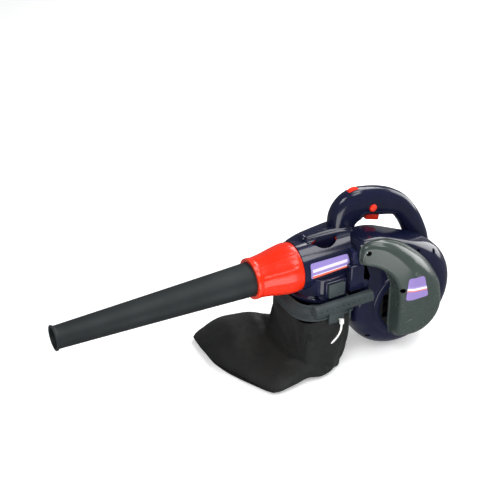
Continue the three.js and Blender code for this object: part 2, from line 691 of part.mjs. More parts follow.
// the motor cover stands on the far face of the bay and carries the far bearing
const ventCount = 10;
const vents = Array.from({ length: ventCount }, (_, i) =>
  box(24, coverInner - 6, motorFarY - 6, motorFarY + 6, -2.5, 2.5)
    .rotate([0, 360 * (i + 0.5) / ventCount, 0]));
piece('motor_cover', cut(
  join(
    cut(
      latheY([[0, bayFarY + GAP], [coverInner + WALL + 8, bayFarY + GAP],
        [coverInner + WALL + 8, bayFarY + GAP + 3], [coverInner + WALL, bayFarY + GAP + 3],
        [coverInner + WALL, motorFarY - 14], [coverInner - 8, motorFarY], [0, motorFarY]], 36),
      latheY([[0, bayFarY - 1], [coverInner, bayFarY - 1], [coverInner, motorFarY - 15],
        [coverInner - 10, motorFarY - WALL], [0, motorFarY - WALL]], 36),
    ),
    rodY(bearingRadius + 4, bearingFarY, motorFarY - 1),
  ),
  rodY(bearingRadius + GAP, bearingFarY - 1, bearingFarY + bearingWidth + GAP),
  rodY(shaftRadius + 2, bearingFarY, shaftFarY + 1),
  ...vents,
), navy);

// ---- handle pieces ----
const triggerDrop = 10;
piece('trigger', plateXZ([
  [triggerFront[0] + GAP, triggerFront[1] - triggerDrop],
  [triggerRear[0] - GAP, triggerRear[1] - triggerDrop],
  [triggerRear[0] - GAP, triggerRear[1] + WALL + 6],
  [triggerFront[0] + GAP, triggerFront[1] + WALL + 6],
], SPLIT_Y - triggerWidth / 2, SPLIT_Y + triggerWidth / 2), flame);
const triggerMidX = (triggerFront[0] + triggerRear[0]) / 2;
const triggerTopZ = (triggerFront[1] + triggerRear[1]) / 2 + WALL + 6;
piece('trigger_spring', coilSpring(triggerMidX, SPLIT_Y, triggerTopZ + 3, buttonZ - 1, 3, 0.5, 3),
  steel);
piece('switch_body', box(dialX + dialRadius + 1, triggerRear[0] - 2, gripNearY + 8, gripFarY - 5,
  buttonZ, buttonZ + 20), black);
piece('lock_button', rodY(buttonRadius, gripNearY - 3, gripNearY + WALL + 1.5, buttonX, buttonZ, 28),
  flame);
piece('speed_dial', cut(
  rodY(dialRadius, SPLIT_Y - dialWidth / 2, SPLIT_Y + dialWidth / 2, dialX, dialZ, 36),
  rodY(2.5 + GAP, 0, 50, dialX, dialZ, 16),
), flame);
piece('dial_control', join(
  box(dialX - 10, dialX + 10, SPLIT_Y + dialWidth / 2 + 1, gripFarY - WALL - 1, dialZ - 10, dialZ + 8),
  rodY(2.5, SPLIT_Y - dialWidth / 2 - 1, SPLIT_Y + dialWidth / 2 + 2, dialX, dialZ, 16),
), black);
piece('suppressor_capacitor', rodZ(9, crestZ - 61, crestZ - 30, dialX - 20, SPLIT_Y, 24), amber);
piece('cord_gland', latheX([
  [0, glandX - 12], [glandRadius + 3, glandX - 12], [glandRadius + 3, glandX - 9],
  [glandRadius, glandX - 9], [glandRadius, glandX + 12], [glandRadius - 2, glandX + 54],
  [3.5, glandX + 54], [3.5, glandX + 20], [0, glandX + 20],
], 20, SPLIT_Y, glandZ), black);

// ---- labels: plain plates let into the surface ----
piece('cover_label', plateXZ([[-28, 33], [18, 33], [5, 80], [-26, 80]], coverNearY - 1,
  coverNearY - GAP), lavender);

// ---- screws ----
const screw = (name, x, z, headY, length) => piece(name, latheY([
  [0, headY - 2.4], [screwHead, headY - 1.6], [screwHead, headY], [screwShank, headY],
  [screwShank, headY + length - 2], [0, headY + length]], 8, x, z), steel);
shellScrews.forEach(([x, z, headY], i) =>
  screw(`shell_screw_${i + 1}`, x, z, headY, SPLIT_Y + 11 - headY));
coverScrews.forEach(([x, z, headY], i) =>
  screw(`cover_screw_${i + 1}`, x, z, headY, drumNearY + 9 - headY));
screw('port_screw', ...portScrew, -portRadius + 26, 14);

const bounds = new THREE.Box3().setFromObject(group);
const middle = bounds.getCenter(new THREE.Vector3());
group.position.set(-middle.x, -middle.y, -bounds.min.z);

export default group;
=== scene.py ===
# Corded leaf blower with its collecting bag: the visible surfaces and finishes round the frame.
# Shapes are drawn in millimetres about the fan shaft, then scaled and moved to their place.
import json
import math

import bmesh
import bpy
from mathutils import Euler, Matrix, Vector, noise


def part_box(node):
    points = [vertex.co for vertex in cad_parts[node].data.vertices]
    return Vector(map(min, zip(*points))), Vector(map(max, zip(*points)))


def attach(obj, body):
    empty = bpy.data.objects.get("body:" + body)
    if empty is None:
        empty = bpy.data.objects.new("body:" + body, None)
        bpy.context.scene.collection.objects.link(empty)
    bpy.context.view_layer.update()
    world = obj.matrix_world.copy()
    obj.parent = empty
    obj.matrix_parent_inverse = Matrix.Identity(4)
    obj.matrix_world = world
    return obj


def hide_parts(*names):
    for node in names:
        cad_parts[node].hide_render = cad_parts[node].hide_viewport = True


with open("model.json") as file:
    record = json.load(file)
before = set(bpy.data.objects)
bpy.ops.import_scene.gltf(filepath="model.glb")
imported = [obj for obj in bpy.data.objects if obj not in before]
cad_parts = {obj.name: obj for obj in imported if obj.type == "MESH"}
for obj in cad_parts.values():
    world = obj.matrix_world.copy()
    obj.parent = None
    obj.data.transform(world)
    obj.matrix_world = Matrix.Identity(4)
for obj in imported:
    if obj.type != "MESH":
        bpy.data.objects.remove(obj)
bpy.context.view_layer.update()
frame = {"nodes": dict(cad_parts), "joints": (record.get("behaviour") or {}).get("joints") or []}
print("frame loaded")

mm = 0.001
hub = Vector(next(joint["pos_m"] for joint in frame["joints"] if joint["name"] == "fan_spin"))


def localBox(node):
    low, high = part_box(node)
    return (low - hub) / mm, (high - hub) / mm


shellLow, shellHigh = localBox("housing_near")
floorZ = shellLow.z
splitY = shellHigh.y + 0.15
pipeZ = (localBox("nozzle_tube")[0].z + localBox("nozzle_tube")[1].z) / 2
pipeFrontX = shellLow.x
portX = (localBox("leaf_port")[0].x + 63)


# ---- camera, floor and light ----
studio = {
    "distanceX": -1105.0, "distanceY": -1506.3, "distanceZ": 1278.1,
    "tilt": 57, "turn": -28, "lens": 82.8, "floorSize": 14,
}
camera = bpy.data.objects.new("studio_camera", bpy.data.cameras.new("studio_camera"))
camera.data.lens = studio["lens"]
camera.data.sensor_width = 36
camera.data.clip_end = 50
camera.location = hub + Vector((studio["distanceX"], studio["distanceY"], studio["distanceZ"])) * mm
camera.rotation_euler = Euler((math.radians(studio["tilt"]), 0, math.radians(studio["turn"])))
bpy.context.scene.collection.objects.link(camera)
bpy.context.scene.camera = camera
bpy.context.scene.view_settings.view_transform = "Standard"

lamps = {
    "key_softbox": {"place": (-0.9, -1.1, 2.1), "aim": (0.1, 0, 0.1), "size": 1.1, "power": 30},
    "rim_softbox": {"place": (1.6, 0.9, 1.7), "aim": (0.25, 0, 0.15), "size": 1.1, "power": 26},
    "top_softbox": {"place": (1.0, -0.3, 2.1), "aim": (0.25, 0, 0.1), "size": 0.9, "power": 16},
    "band_softbox": {"place": (0.9, -1.3, 1.8), "aim": (0.25, 0, 0.25), "size": 0.7, "power": 10},
    "low_card": {"place": (2.2, 0.2, 0.5), "aim": (0.3, 0, 0.1), "size": 1.3, "power": 22},
    "front_card": {"place": (0.05, -0.72, 0.03), "aim": (0.2, -0.1, 0.25), "size": 0.42, "power": 2.2},
}
for lampName, lamp in lamps.items():
    light = bpy.data.lights.new(lampName, "AREA")
    light.size = lamp["size"]
    light.energy = lamp["power"]
    lightObject = bpy.data.objects.new(lampName, light)
    lightObject.location = lamp["place"]
    lightObject.visible_camera = False
    toward = Vector(lamp["aim"]) - lightObject.location
    lightObject.rotation_euler = toward.to_track_quat("-Z", "Y").to_euler()
    bpy.context.scene.collection.objects.link(lightObject)


def hexColour(text):
    # sRGB hex to linear
    parts = [int(text[i:i + 2], 16) / 255 for i in (1, 3, 5)]
    return tuple(c / 12.92 if c <= 0.04045 else ((c + 0.055) / 1.055) ** 2.4 for c in parts) + (1,)


def addNode(tree, kind, settings, links=()):
    node = tree.nodes.new(kind)
    for key, value in settings.items():
        if isinstance(key, int) or key in node.inputs:
            node.inputs[key].default_value = value
        else:
            setattr(node, key, value)
    for socket, output in links:
        tree.links.new(output, node.inputs[socket])
    return node


world = bpy.data.worlds.new("studio_room")
bpy.context.scene.world = world
world.use_nodes = True
world.node_tree.nodes.clear()
room = addNode(world.node_tree, "ShaderNodeBackground", {"Color": hexColour("#f4f5f7"), "Strength": 0.26})
addNode(world.node_tree, "ShaderNodeOutputWorld", {}, [("Surface", room.outputs[0])])


# ---- finishes ----
def startMaterial(name, settings):
    material = bpy.data.materials.new(name)
    material.use_nodes = True
    tree = material.node_tree
    tree.nodes.clear()
    shader = addNode(tree, "ShaderNodeBsdfPrincipled", settings)
    addNode(tree, "ShaderNodeOutputMaterial", {}, [("Surface", shader.outputs[0])])
    return material, tree, shader


def noiseRamp(tree, coords, scale, low, high, detail=3.0):
    # a noise of one size, spread between two values
    grain = addNode(tree, "ShaderNodeTexNoise", {"Scale": scale, "Detail": detail}, [("Vector", coords)])
    return addNode(tree, "ShaderNodeMapRange", {"From Min": 0.3, "From Max": 0.7, "To Min": low,
                                                "To Max": high},
                   [("Value", grain.outputs["Fac"])])


def mouldedPlastic(name, look):
    # moulded plastic: a slow drift of tone, a skin texture from the tool, and a painted highlight that makes the sharp
    # edges lighter
    material, tree, shader = startMaterial(name, {
        "IOR": 1.5, "Specular IOR Level": look.get("specular", 0.3), "Coat Weight": look.get("coat", 0.0),
        "Coat Roughness": look.get("coatRoughness", 0.08),
    })
    coords = addNode(tree, "ShaderNodeTexCoord", {}).outputs["Object"]
    drift = noiseRamp(tree, coords, 1 / (look["driftMm"] * mm), 0, 1)
    # painted highlight: sharp edges, found by pointiness, are tinted towards a lighter colour that stands in for the
    # glint of light along them
    edges = addNode(tree, "ShaderNodeNewGeometry", {})
    edgeHighlightShare = addNode(tree, "ShaderNodeMapRange", {
        "From Min": 0.53, "From Max": 0.64, "To Min": 0, "To Max": look.get("edgeHighlightShare", 0.25),
    }, [("Value", edges.outputs["Pointiness"])])
    tone = addNode(tree, "ShaderNodeMix", {"data_type": "RGBA", 6: hexColour(look["colour"]),
                                           7: hexColour(look["drift"])}, [(0, drift.outputs[0])])
    edgeHighlightColour = addNode(tree, "ShaderNodeMix", {"data_type": "RGBA", 7: hexColour(look["edgeHighlightColour"])},
                   [(0, edgeHighlightShare.outputs[0]), (6, tone.outputs[2])])
    tree.links.new(edgeHighlightColour.outputs[2], shader.inputs["Base Color"])
    sheen = noiseRamp(tree, coords, 1 / (look["driftMm"] * 0.6 * mm), look["rough"][0], look["rough"][1])
    tree.links.new(sheen.outputs[0], shader.inputs["Roughness"])
    skin = addNode(tree, "ShaderNodeTexNoise", {"Scale": 1 / (look["skinMm"] * mm), "Detail": 2.0},
                   [("Vector", coords)])
    bump = addNode(tree, "ShaderNodeBump", {"Strength": look["skin"], "Distance": 0.4 * mm},
                   [("Height", skin.outputs["Fac"])])
    tree.links.new(bump.outputs[0], shader.inputs["Normal"])
    return material


# in each look below, the edge colour and its share set the painted highlight along the sharp edges
# gloss ABS, injection moulded: deep navy that mirrors the lights, with a faint orange-peel skin
navyAbs = mouldedPlastic("navy_gloss_abs", {
    "colour": "#101328", "drift": "#151933", "edgeHighlightColour": "#343a5c", "driftMm": 90, "rough": (0.13, 0.22),
    "skinMm": 7, "skin": 0.035, "coat": 0.25, "edgeHighlightShare": 0.3,
})
# gloss ABS with a mineral pigment: grey-green, broad soft reflections
coverAbs = mouldedPlastic("grey_green_gloss_abs", {
    "colour": "#353f3c", "drift": "#3c4642", "edgeHighlightColour": "#69736d", "driftMm": 70, "rough": (0.2, 0.3),
    "skinMm": 6, "skin": 0.035, "coat": 0.2, "edgeHighlightShare": 0.4,
})
# satin polypropylene: a dull, slightly waxy dark grey
collarPp = mouldedPlastic("satin_grey_polypropylene", {
    "colour": "#2f3739", "drift": "#374042", "edgeHighlightColour": "#606a6c", "driftMm": 45, "rough": (0.42, 0.55),
    "skinMm": 1.2, "skin": 0.12, "edgeHighlightShare": 0.4,
})
# blow-moulded polyethylene: matte charcoal with a fine spark-eroded grain
tubePe = mouldedPlastic("matte_charcoal_polyethylene", {
    "colour": "#1c2123", "drift": "#22282a", "edgeHighlightColour": "#3e4648", "driftMm": 60, "rough": (0.5, 0.62),
    "skinMm": 1.4, "skin": 0.22, "edgeHighlightShare": 0.4,
})
# gloss ABS in a signal colour: saturated orange-red, even tone, crisp glints
flameAbs = mouldedPlastic("orange_red_gloss_abs", {
    "colour": "#e42407", "drift": "#ee2e0e", "edgeHighlightColour": "#ff6a48", "driftMm": 60, "rough": (0.2, 0.3),
    "skinMm": 5, "skin": 0.03, "coat": 0.2, "edgeHighlightShare": 0.3,
})
# glass-filled nylon: near black and satin, for the grille and the inner parts
blackNylon = mouldedPlastic("black_satin_nylon", {
    "colour": "#0c0d0f", "drift": "#131417", "edgeHighlightColour": "#2b2d31", "driftMm": 30, "rough": (0.36, 0.5),
    "skinMm": 0.9, "skin": 0.15,
})
# soft PVC: black, dull, with a slight drag to the surface
blackRubber = mouldedPlastic("black_soft_pvc", {
    "colour": "#101112", "drift": "#17181a", "edgeHighlightColour": "#2a2b2d", "driftMm": 20, "rough": (0.55, 0.7),
    "skinMm": 0.8, "skin": 0.2,
})
# natural nylon: milky white with a waxy gloss
tieNylon = mouldedPlastic("natural_nylon", {
    "colour": "#eeeeea", "drift": "#f6f6f4", "edgeHighlightColour": "#ffffff", "driftMm": 12, "rough": (0.3, 0.42),
    "skinMm": 1, "skin": 0.08,
})
# dipped epoxy resin: warm amber and glossy
amberResin = mouldedPlastic("amber_epoxy_resin", {
    "colour": "#c08a35", "drift": "#cc9a45", "edgeHighlightColour": "#dcb468", "driftMm": 15, "rough": (0.25, 0.35),
    "skinMm": 2, "skin": 0.08,
})
# pressed carbon: dark grey, dry
brushCarbon = mouldedPlastic("pressed_carbon", {
    "colour": "#1c1c1d", "drift": "#242426", "edgeHighlightColour": "#3a3a3c", "driftMm": 6, "rough": (0.55, 0.7),
    "skinMm": 0.6, "skin": 0.2,
})


def turnedMetal(name, look):
    # metal with fine tool marks
    material, tree, shader = startMaterial(name, {"Metallic": 1.0})
    coords = addNode(tree, "ShaderNodeTexCoord", {}).outputs["Object"]
    drift = noiseRamp(tree, coords, 1 / (12 * mm), 0, 1)
    tone = addNode(tree, "ShaderNodeMix", {"data_type": "RGBA", 6: hexColour(look["colour"]),
                                           7: hexColour(look["drift"])}, [(0, drift.outputs[0])])
    tree.links.new(tone.outputs[2], shader.inputs["Base Color"])
    marks = noiseRamp(tree, coords, 1 / (0.8 * mm), look["rough"][0], look["rough"][1])
    tree.links.new(marks.outputs[0], shader.inputs["Roughness"])
    return material


# zinc plate over steel: cool, slightly cloudy
zincSteel = turnedMetal("zinc_plated_steel", {"colour": "#a9adb2", "drift": "#8d9297", "rough": (0.25, 0.42)})
# stacked electrical steel with varnished copper wire: warm and dull
coreSteel = turnedMetal("varnished_motor_core", {"colour": "#8a6a52", "drift": "#6f7377",
                                                 "rough": (0.4, 0.55)})
# stamped brass: yellow, lightly tarnished
stampedBrass = turnedMetal("stamped_brass", {"colour": "#c9a15a", "drift": "#b08a48", "rough": (0.3, 0.45)})


def wovenPolyester(name, look):
    # warp and weft drawn coarser than the real 0.4 mm threads, so that the weave shows
    material, tree, shader = startMaterial(name, {
        "IOR": 1.45, "Sheen Weight": look["sheen"], "Sheen Roughness": 0.5,
    })
    texture = addNode(tree, "ShaderNodeTexCoord", {})
    coords, cloth = texture.outputs["Object"], texture.outputs["UV"]
    threads = []
    for direction in ("X", "Y"):
        threads.append(addNode(tree, "ShaderNodeTexWave", {
            "wave_type": "BANDS", "bands_direction": direction, "wave_profile": "SIN",
            "Scale": 0.314 / look["threadMm"] / mm, "Distortion": 0.6, "Detail": 1.0,
        }, [("Vector", cloth)]).outputs["Fac"])
    weave = addNode(tree, "ShaderNodeMath", {"operation": "MULTIPLY"}, [(0, threads[0]), (1, threads[1])])
    drift = noiseRamp(tree, coords, 1 / (55 * mm), 0, 1)
    tone = addNode(tree, "ShaderNodeMix", {"data_type": "RGBA", 6: hexColour(look["colour"]),
                                           7: hexColour(look["drift"])}, [(0, drift.outputs[0])])
    lit = addNode(tree, "ShaderNodeMix", {"data_type": "RGBA", "blend_type": "ADD", 0: 0.0,
                                          7: hexColour(look["thread"])}, [(6, tone.outputs[2])])
    share = addNode(tree, "ShaderNodeMath", {"operation": "MULTIPLY", 1: 0.5}, [(0, weave.outputs[0])])
    tree.links.new(share.outputs[0], lit.inputs[0])
    tree.links.new(lit.outputs[2], shader.inputs["Base Color"])
    rough = noiseRamp(tree, coords, 1 / (20 * mm), 0.62, 0.8)
    tree.links.new(rough.outputs[0], shader.inputs["Roughness"])
    crumple = addNode(tree, "ShaderNodeTexNoise", {"Scale": 1 / (26 * mm), "Detail": 4.0, "Roughness": 0.55},
                      [("Vector", coords)])
    soft = addNode(tree, "ShaderNodeBump", {"Strength": 0.35, "Distance": 2.2 * mm},
                   [("Height", crumple.outputs["Fac"])])
    fine = addNode(tree, "ShaderNodeBump", {"Strength": 0.35, "Distance": 0.25 * mm},
                   [("Height", weave.outputs[0]), ("Normal", soft.outputs[0])])
    tree.links.new(fine.outputs[0], shader.inputs["Normal"])
    return material


# black woven polyester: soft grey sheen on the folds and a visible thread
bagCloth = wovenPolyester("black_woven_polyester", {
    "colour": "#090b0a", "drift": "#0e110f", "thread": "#171a18", "threadMm": 1.3, "sheen": 0.05,
})


def printedVinyl(name, look):
    # bands of plain colour across a vinyl label, from its bottom edge to its top
    material, tree, shader = startMaterial(name, {
        "IOR": 1.5, "Roughness": 0.3, "Coat Weight": 0.4, "Coat Roughness": 0.1,
    })
    place = addNode(tree, "ShaderNodeSeparateXYZ", {}, [
        ("Vector", addNode(tree, "ShaderNodeTexCoord", {}).outputs["UV"])])
    slant = addNode(tree, "ShaderNodeMath", {"operation": "MULTIPLY_ADD", 1: look["slant"]},
                    [(0, place.outputs["X"]), (2, place.outputs["Y"])])
    bands = addNode(tree, "ShaderNodeValToRGB", {}, [("Fac", slant.outputs[0])])
    bands.color_ramp.interpolation = "CONSTANT"
    for index, (start, hexText) in enumerate(look["bands"]):
        stop = bands.color_ramp.elements[index] if index < 2 else bands.color_ramp.elements.new(start)
        stop.position = start
        stop.color = hexColour(hexText)
    sides = addNode(tree, "ShaderNodeMath", {"operation": "COMPARE", 1: 0.5, 2: look["reach"]},
                    [(0, place.outputs["X"])])
    patched = addNode(tree, "ShaderNodeMix", {"data_type": "RGBA", 6: hexColour(look["ground"])},
                      [(0, sides.outputs[0]), (7, bands.outputs[0])])
    tree.links.new(patched.outputs[2], shader.inputs["Base Color"])
    return material


# printed vinyl: lavender with a white bar and an orange-red stripe, under a clear film
pipeVinyl = printedVinyl("lavender_printed_vinyl", {
    "ground": "#9080c2", "slant": -0.06, "reach": 0.45,
    "bands": ((0.0, "#f0654a"), (0.16, "#f6f4fb"), (0.21, "#9080c2"), (0.4, "#dcd6ee"), (0.6, "#9080c2")),
})
coverVinyl = printedVinyl("lavender_striped_vinyl", {
    "ground": "#8d79ba", "slant": 0.1, "reach": 0.6,
    "bands": ((0.0, "#8d79ba"), (0.4, "#ea7058"), (0.45, "#e8e3f4"), (0.55, "#9d8bc8"), (0.62, "#8d79ba")),
})
print("finishes ready")


# ---- shaping ----
def linePoints(*points):
    return [Vector(point) for point in points]


def arcPoints(centreX, centreZ, radius, start, end, steps):
    # points of an arc in X and Z, angles in degrees
    points = []
    for step in range(steps + 1):
        angle = math.radians(start + (end - start) * step / steps)
        points.append(Vector((centreX + radius * math.cos(angle), centreZ + radius * math.sin(angle))))
    return points


def curveThrough(points, perSpan):
    # a smooth curve through the points
    padded = [points[0]] + list(points) + [points[-1]]
    line = []
    for a, b, c, d in zip(padded, padded[1:], padded[2:], padded[3:]):
        for step in range(perSpan):
            t = step / perSpan
            line.append(0.5 * (2 * b + (c - a) * t + (2 * a - 5 * b + 4 * c - d) * t ** 2
                               + (3 * b - a - 3 * c + d) * t ** 3))
    return line + [points[-1]]


def evenly(points, spacing):
    # a closed line, with points at even distances
    closed = list(points) + [points[0]]
    lengths = [(b - a).length for a, b in zip(closed, closed[1:])]
    count = max(8, round(sum(lengths) / spacing))
    pitch = sum(lengths) / count
    spread = []
    passed = 0.0
    index = 0
    for step in range(count):
        target = step * pitch
        while passed + lengths[index] < target:
            passed += lengths[index]
            index += 1
        spread.append(closed[index].lerp(closed[index + 1], (target - passed) / lengths[index]))
    return spread


def relaxed(points, rounds):
    for _ in range(rounds):
        points = [(points[i - 1] + points[i] * 2 + points[(i + 1) % len(points)]) / 4
                  for i in range(len(points))]
    return points


def drawnIn(points, distances):
    # an anticlockwise outline moved inwards, by its own distance at each point
    moved = []
    for i, point in enumerate(points):
        along = (points[(i + 1) % len(points)] - points[i - 1]).normalized()
        moved.append(point + Vector((-along.y, along.x)) * distances[i])
    return moved


def loft(bm, rings, startCap=True, endCap=True):
    # grows a tube from ring to ring and returns the vertices of the last one
    ring = bmesh.ops.create_circle(bm, segments=len(rings[0]), radius=1)["verts"]
    for vert, point in zip(ring, rings[0]):
        vert.co = point
    if startCap:
        bm.faces.new(ring)
    for nextRing in rings[1:]:
        edges = [bm.edges.get((ring[i - 1], ring[i])) for i in range(len(ring))]
        grown = bmesh.ops.extrude_edge_only(bm, edges=edges)["geom"]
        fresh = {item for item in grown if isinstance(item, bmesh.types.BMVert)}
        ring = [next(edge.other_vert(vert) for edge in vert.link_edges if edge.other_vert(vert) in fresh)
                for vert in ring]
        for vert, point in zip(ring, nextRing):
            vert.co = point
    if endCap:
        bm.faces.new(ring)
    return ring


def sliceFaces(bm, step, axes):
    # cuts the faces into strips a step wide along each axis
    for axis in axes:
        low = min(vert.co[axis] for face in bm.faces for vert in face.verts)
        high = max(vert.co[axis] for face in bm.faces for vert in face.verts)
        normal = Vector([float(i == axis) for i in range(3)])
        for k in range(1, int((high - low) / step) + 1):
            bmesh.ops.bisect_plane(bm, geom=bm.verts[:] + bm.edges[:] + bm.faces[:], dist=1e-4,
                                   plane_co=normal * (low + k * step), plane_no=normal)


def spun(profile, axis, centre=(0, 0, 0), steps=96):
    # turns [radius, along] points round an axis
    bm = bmesh.new()
    side = Vector((1, 0, 0)) if axis == "Z" else Vector((0, 0, 1))
    line = {"X": Vector((1, 0, 0)), "Y": Vector((0, 1, 0)), "Z": Vector((0, 0, 1))}[axis]
    verts = [bm.verts.new(Vector(centre) + side * radius + line * along) for radius, along in profile]
    edges = [bm.edges.new(pair) for pair in zip(verts, verts[1:])]
    bmesh.ops.spin(bm, geom=verts + edges, cent=centre, axis=line, angle=2 * math.pi, steps=steps,
                   use_merge=True)
    bmesh.ops.remove_doubles(bm, verts=bm.verts, dist=1e-4)
    bmesh.ops.dissolve_degenerate(bm, edges=bm.edges, dist=1e-4)
    return bm


def soften(bm, width, segments=3, angle=28):
    # rounds every edge sharper than the angle
    bmesh.ops.recalc_face_normals(bm, faces=bm.faces)
    sharp = [edge for edge in bm.edges
             if len(edge.link_faces) == 2 and edge.calc_face_angle(0) > math.radians(angle)]
    bmesh.ops.bevel(bm, geom=sharp, offset=width, offset_type="OFFSET", segments=segments, profile=0.5,
                    affect="EDGES", clamp_overlap=True, material=-1)
    return bm


def plate(outline, y0, y1):
    # an outline in X and Z, given thickness along Y
    bm = bmesh.new()
    loft(bm, [[Vector((p.x, y, p.y)) for p in outline] for y in (y0, y1)])
    return bm


def block(x0, x1, y0, y1, z0, z1):
    return plate(linePoints((x0, z0), (x1, z0), (x1, z1), (x0, z1)), y0, y1)


def merge(*parts):
    # several shapes in one bmesh
    whole = bmesh.new()
    for part in parts:
        mesh = bpy.data.meshes.new("part")
        part.to_mesh(mesh)
        whole.from_mesh(mesh)
        bpy.data.meshes.remove(mesh)
        part.free()
    return whole


def toObject(name, bm):
    # puts a shape drawn in millimetres about the shaft in its place
    bmesh.ops.recalc_face_normals(bm, faces=bm.faces)
    bmesh.ops.scale(bm, vec=(mm, mm, mm), verts=bm.verts)
    bmesh.ops.translate(bm, vec=hub, verts=bm.verts)
    mesh = bpy.data.meshes.new(name)
    bm.to_mesh(mesh)
    bm.free()
    piece = bpy.data.objects.new(name, mesh)
    bpy.context.scene.collection.objects.link(piece)
    return piece


def settle(piece):
    # applies the modifiers
    graph = bpy.context.evaluated_depsgraph_get()
    done = bpy.data.meshes.new_from_object(piece.evaluated_get(graph))
    piece.modifiers.clear()
    piece.data = done
    return piece


def carve(piece, *cutters):
    for cutter in cutters:
        tool = toObject("cutter", cutter)
        boolean = piece.modifiers.new("carve", "BOOLEAN")
        boolean.operation = "DIFFERENCE"
        boolean.solver = "EXACT"
        boolean.object = tool
        settle(piece)
        bpy.data.objects.remove(tool)
    return piece


def halves(bm):
    # the near and the far half of a shape, parted at the split plane
    parted = []
    for side in (-1, 1):
        half = bm.copy()
        bmesh.ops.bisect_plane(half, geom=half.verts[:] + half.edges[:] + half.faces[:], dist=1e-4,
                               plane_co=(0, splitY + side * 0.2, 0), plane_no=(0, -side, 0), clear_outer=True)
        bmesh.ops.holes_fill(half, edges=[edge for edge in half.edges if edge.is_boundary])
        parted.append(half)
    bm.free()
    return parted


def dress(piece, body, material, nodes=(), angle=32):
    # finish, smooth shading, and the body that the piece moves with
    piece.data.materials.clear()
    piece.data.materials.append(material)
    piece.data.shade_smooth()
    piece.data.set_sharp_from_angle(angle=math.radians(angle))
    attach(piece, body)
    if nodes:
        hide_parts(*nodes)
    return piece


def rod(axis, radius, start, end, centre, steps=32):
    return spun([(0, start), (radius, start), (radius, end), (0, end)], axis, centre, steps)


# ---- fan housing ----
volute = {
    "radius": 114.3, "centreX": 1.5, "centreZ": 2.8, "nearY": -62, "scrollAngle": 66, "crest": 156,
    "drumShoulder": 36, "scrollShoulder": 14, "crestRound": 26, "leftX": -114, "rootZ": 64, "eye": 60,
    "chamber": 97, "wellRadius": 4.6, "wells": ((79, 106), (53, 106), (-18, 106), (-139, 100)),
}


def fade(value, start, end):
    # a smooth step from 0 at the start to 1 at the end
    share = min(1, max(0, (value - start) / (end - start)))
    return share * share * (3 - 2 * share)



def voluteOutline():
    radius, x, z = volute["radius"], volute["centreX"], volute["centreZ"]
    angle = math.radians(volute["scrollAngle"])
    touch = Vector((x + radius * math.cos(angle), z + radius * math.sin(angle)))
    climb = Vector((-math.sin(angle), math.cos(angle)))
    crest = touch + climb * ((volute["crest"] - touch.y) / climb.y)
    before = crest - climb * volute["crestRound"]
    after = crest - Vector((volute["crestRound"], 0))
    bend = [before.lerp(crest, t).lerp(crest.lerp(after, t), t) for t in [i / 8 for i in range(9)]]
    root = math.degrees(math.asin((volute["rootZ"] - z) / radius))
    corner = 17
    left = volute["leftX"]
    outline = arcPoints(x, z, radius, -180 - root, volute["scrollAngle"], 150) + bend
    outline += arcPoints(left + corner, volute["crest"] - corner, corner, 90, 180, 5)
    outline += arcPoints(left + corner, volute["rootZ"] + corner, corner, 180, 270, 5)
    return relaxed(evenly(outline, 3.5), 4)


def shoulderAt(point):
    # wide round the drum, tight along the scroll
    turn = math.degrees(math.atan2(point.y, point.x))
    wide = min(1 - fade(turn, 52, 88), fade(turn, -178, -150))
    return volute["scrollShoulder"] + (volute["drumShoulder"] - volute["scrollShoulder"]) * wide


outline = voluteOutline()
shoulders = [shoulderAt(point) for point in outline]
rings = []
for turn in [k * math.pi / 20 for k in range(11)]:
    ring = drawnIn(outline, [width * (1 - math.sin(turn)) for width in shoulders])
    rings.append([Vector((p.x, volute["nearY"] + width * (1 - math.cos(turn)), p.y))
                  for p, width in zip(ring, shoulders)])
for inset, y in ((0, -2), (1.2, 1), (4, 3)):
    rings.append([Vector((p.x, y, p.y)) for p in drawnIn(outline, [inset] * len(outline))])
voluteMesh = bmesh.new()
loft(voluteMesh, rings)
voluteShell = toObject("volute_shell", voluteMesh)
wells = [rod("Y", volute["wellRadius"], -80, -41.8, (p.x, 0, p.y), 24)
         for p in [arcPoints(0, 0, ring, a, a, 1)[0] for a, ring in volute["wells"]]]
carve(voluteShell, spun([(0, -80), (volute["eye"], -80), (volute["eye"], -58.9), (79, -58.9), (91, -53),
                         (volute["chamber"], -46), (volute["chamber"], -1), (0, -1)], "Y", steps=128),
      merge(*wells))
dress(voluteShell, "body", navyAbs, ["housing_near"])

eyeRing = soften(spun([(60, -61), (60, -64.5), (74, -64.5), (77, -61), (60, -61)], "Y", steps=128), 1.2)
dress(toObject("intake_ring", eyeRing), "body", navyAbs)

bayNear = spun([(100, -0.5), (109, -0.5), (105.4, 11), (104, 14.3), (103.5, splitY - 0.2), (98, splitY - 0.2),
                (100, -0.5)], "Y", steps=128)
dress(toObject("motor_bay_near", bayNear), "body", navyAbs)
bayFar = soften(spun([(98, splitY + 0.2), (103.5, splitY + 0.2), (104, 15.7), (98, 30), (86, 42),
                      (46, 42), (46, 39),
                      (85, 39), (94, 29), (98, splitY + 0.2)], "Y", steps=128), 2, angle=20)
dress(toObject("motor_bay_far", bayFar), "body", navyAbs, ["housing_far"])

foot = soften(block(-14, 14, -26, -6, floorZ, floorZ + 8), 1.2)
dress(toObject("drum_foot", foot), "body", navyAbs)
print("fan housing done")

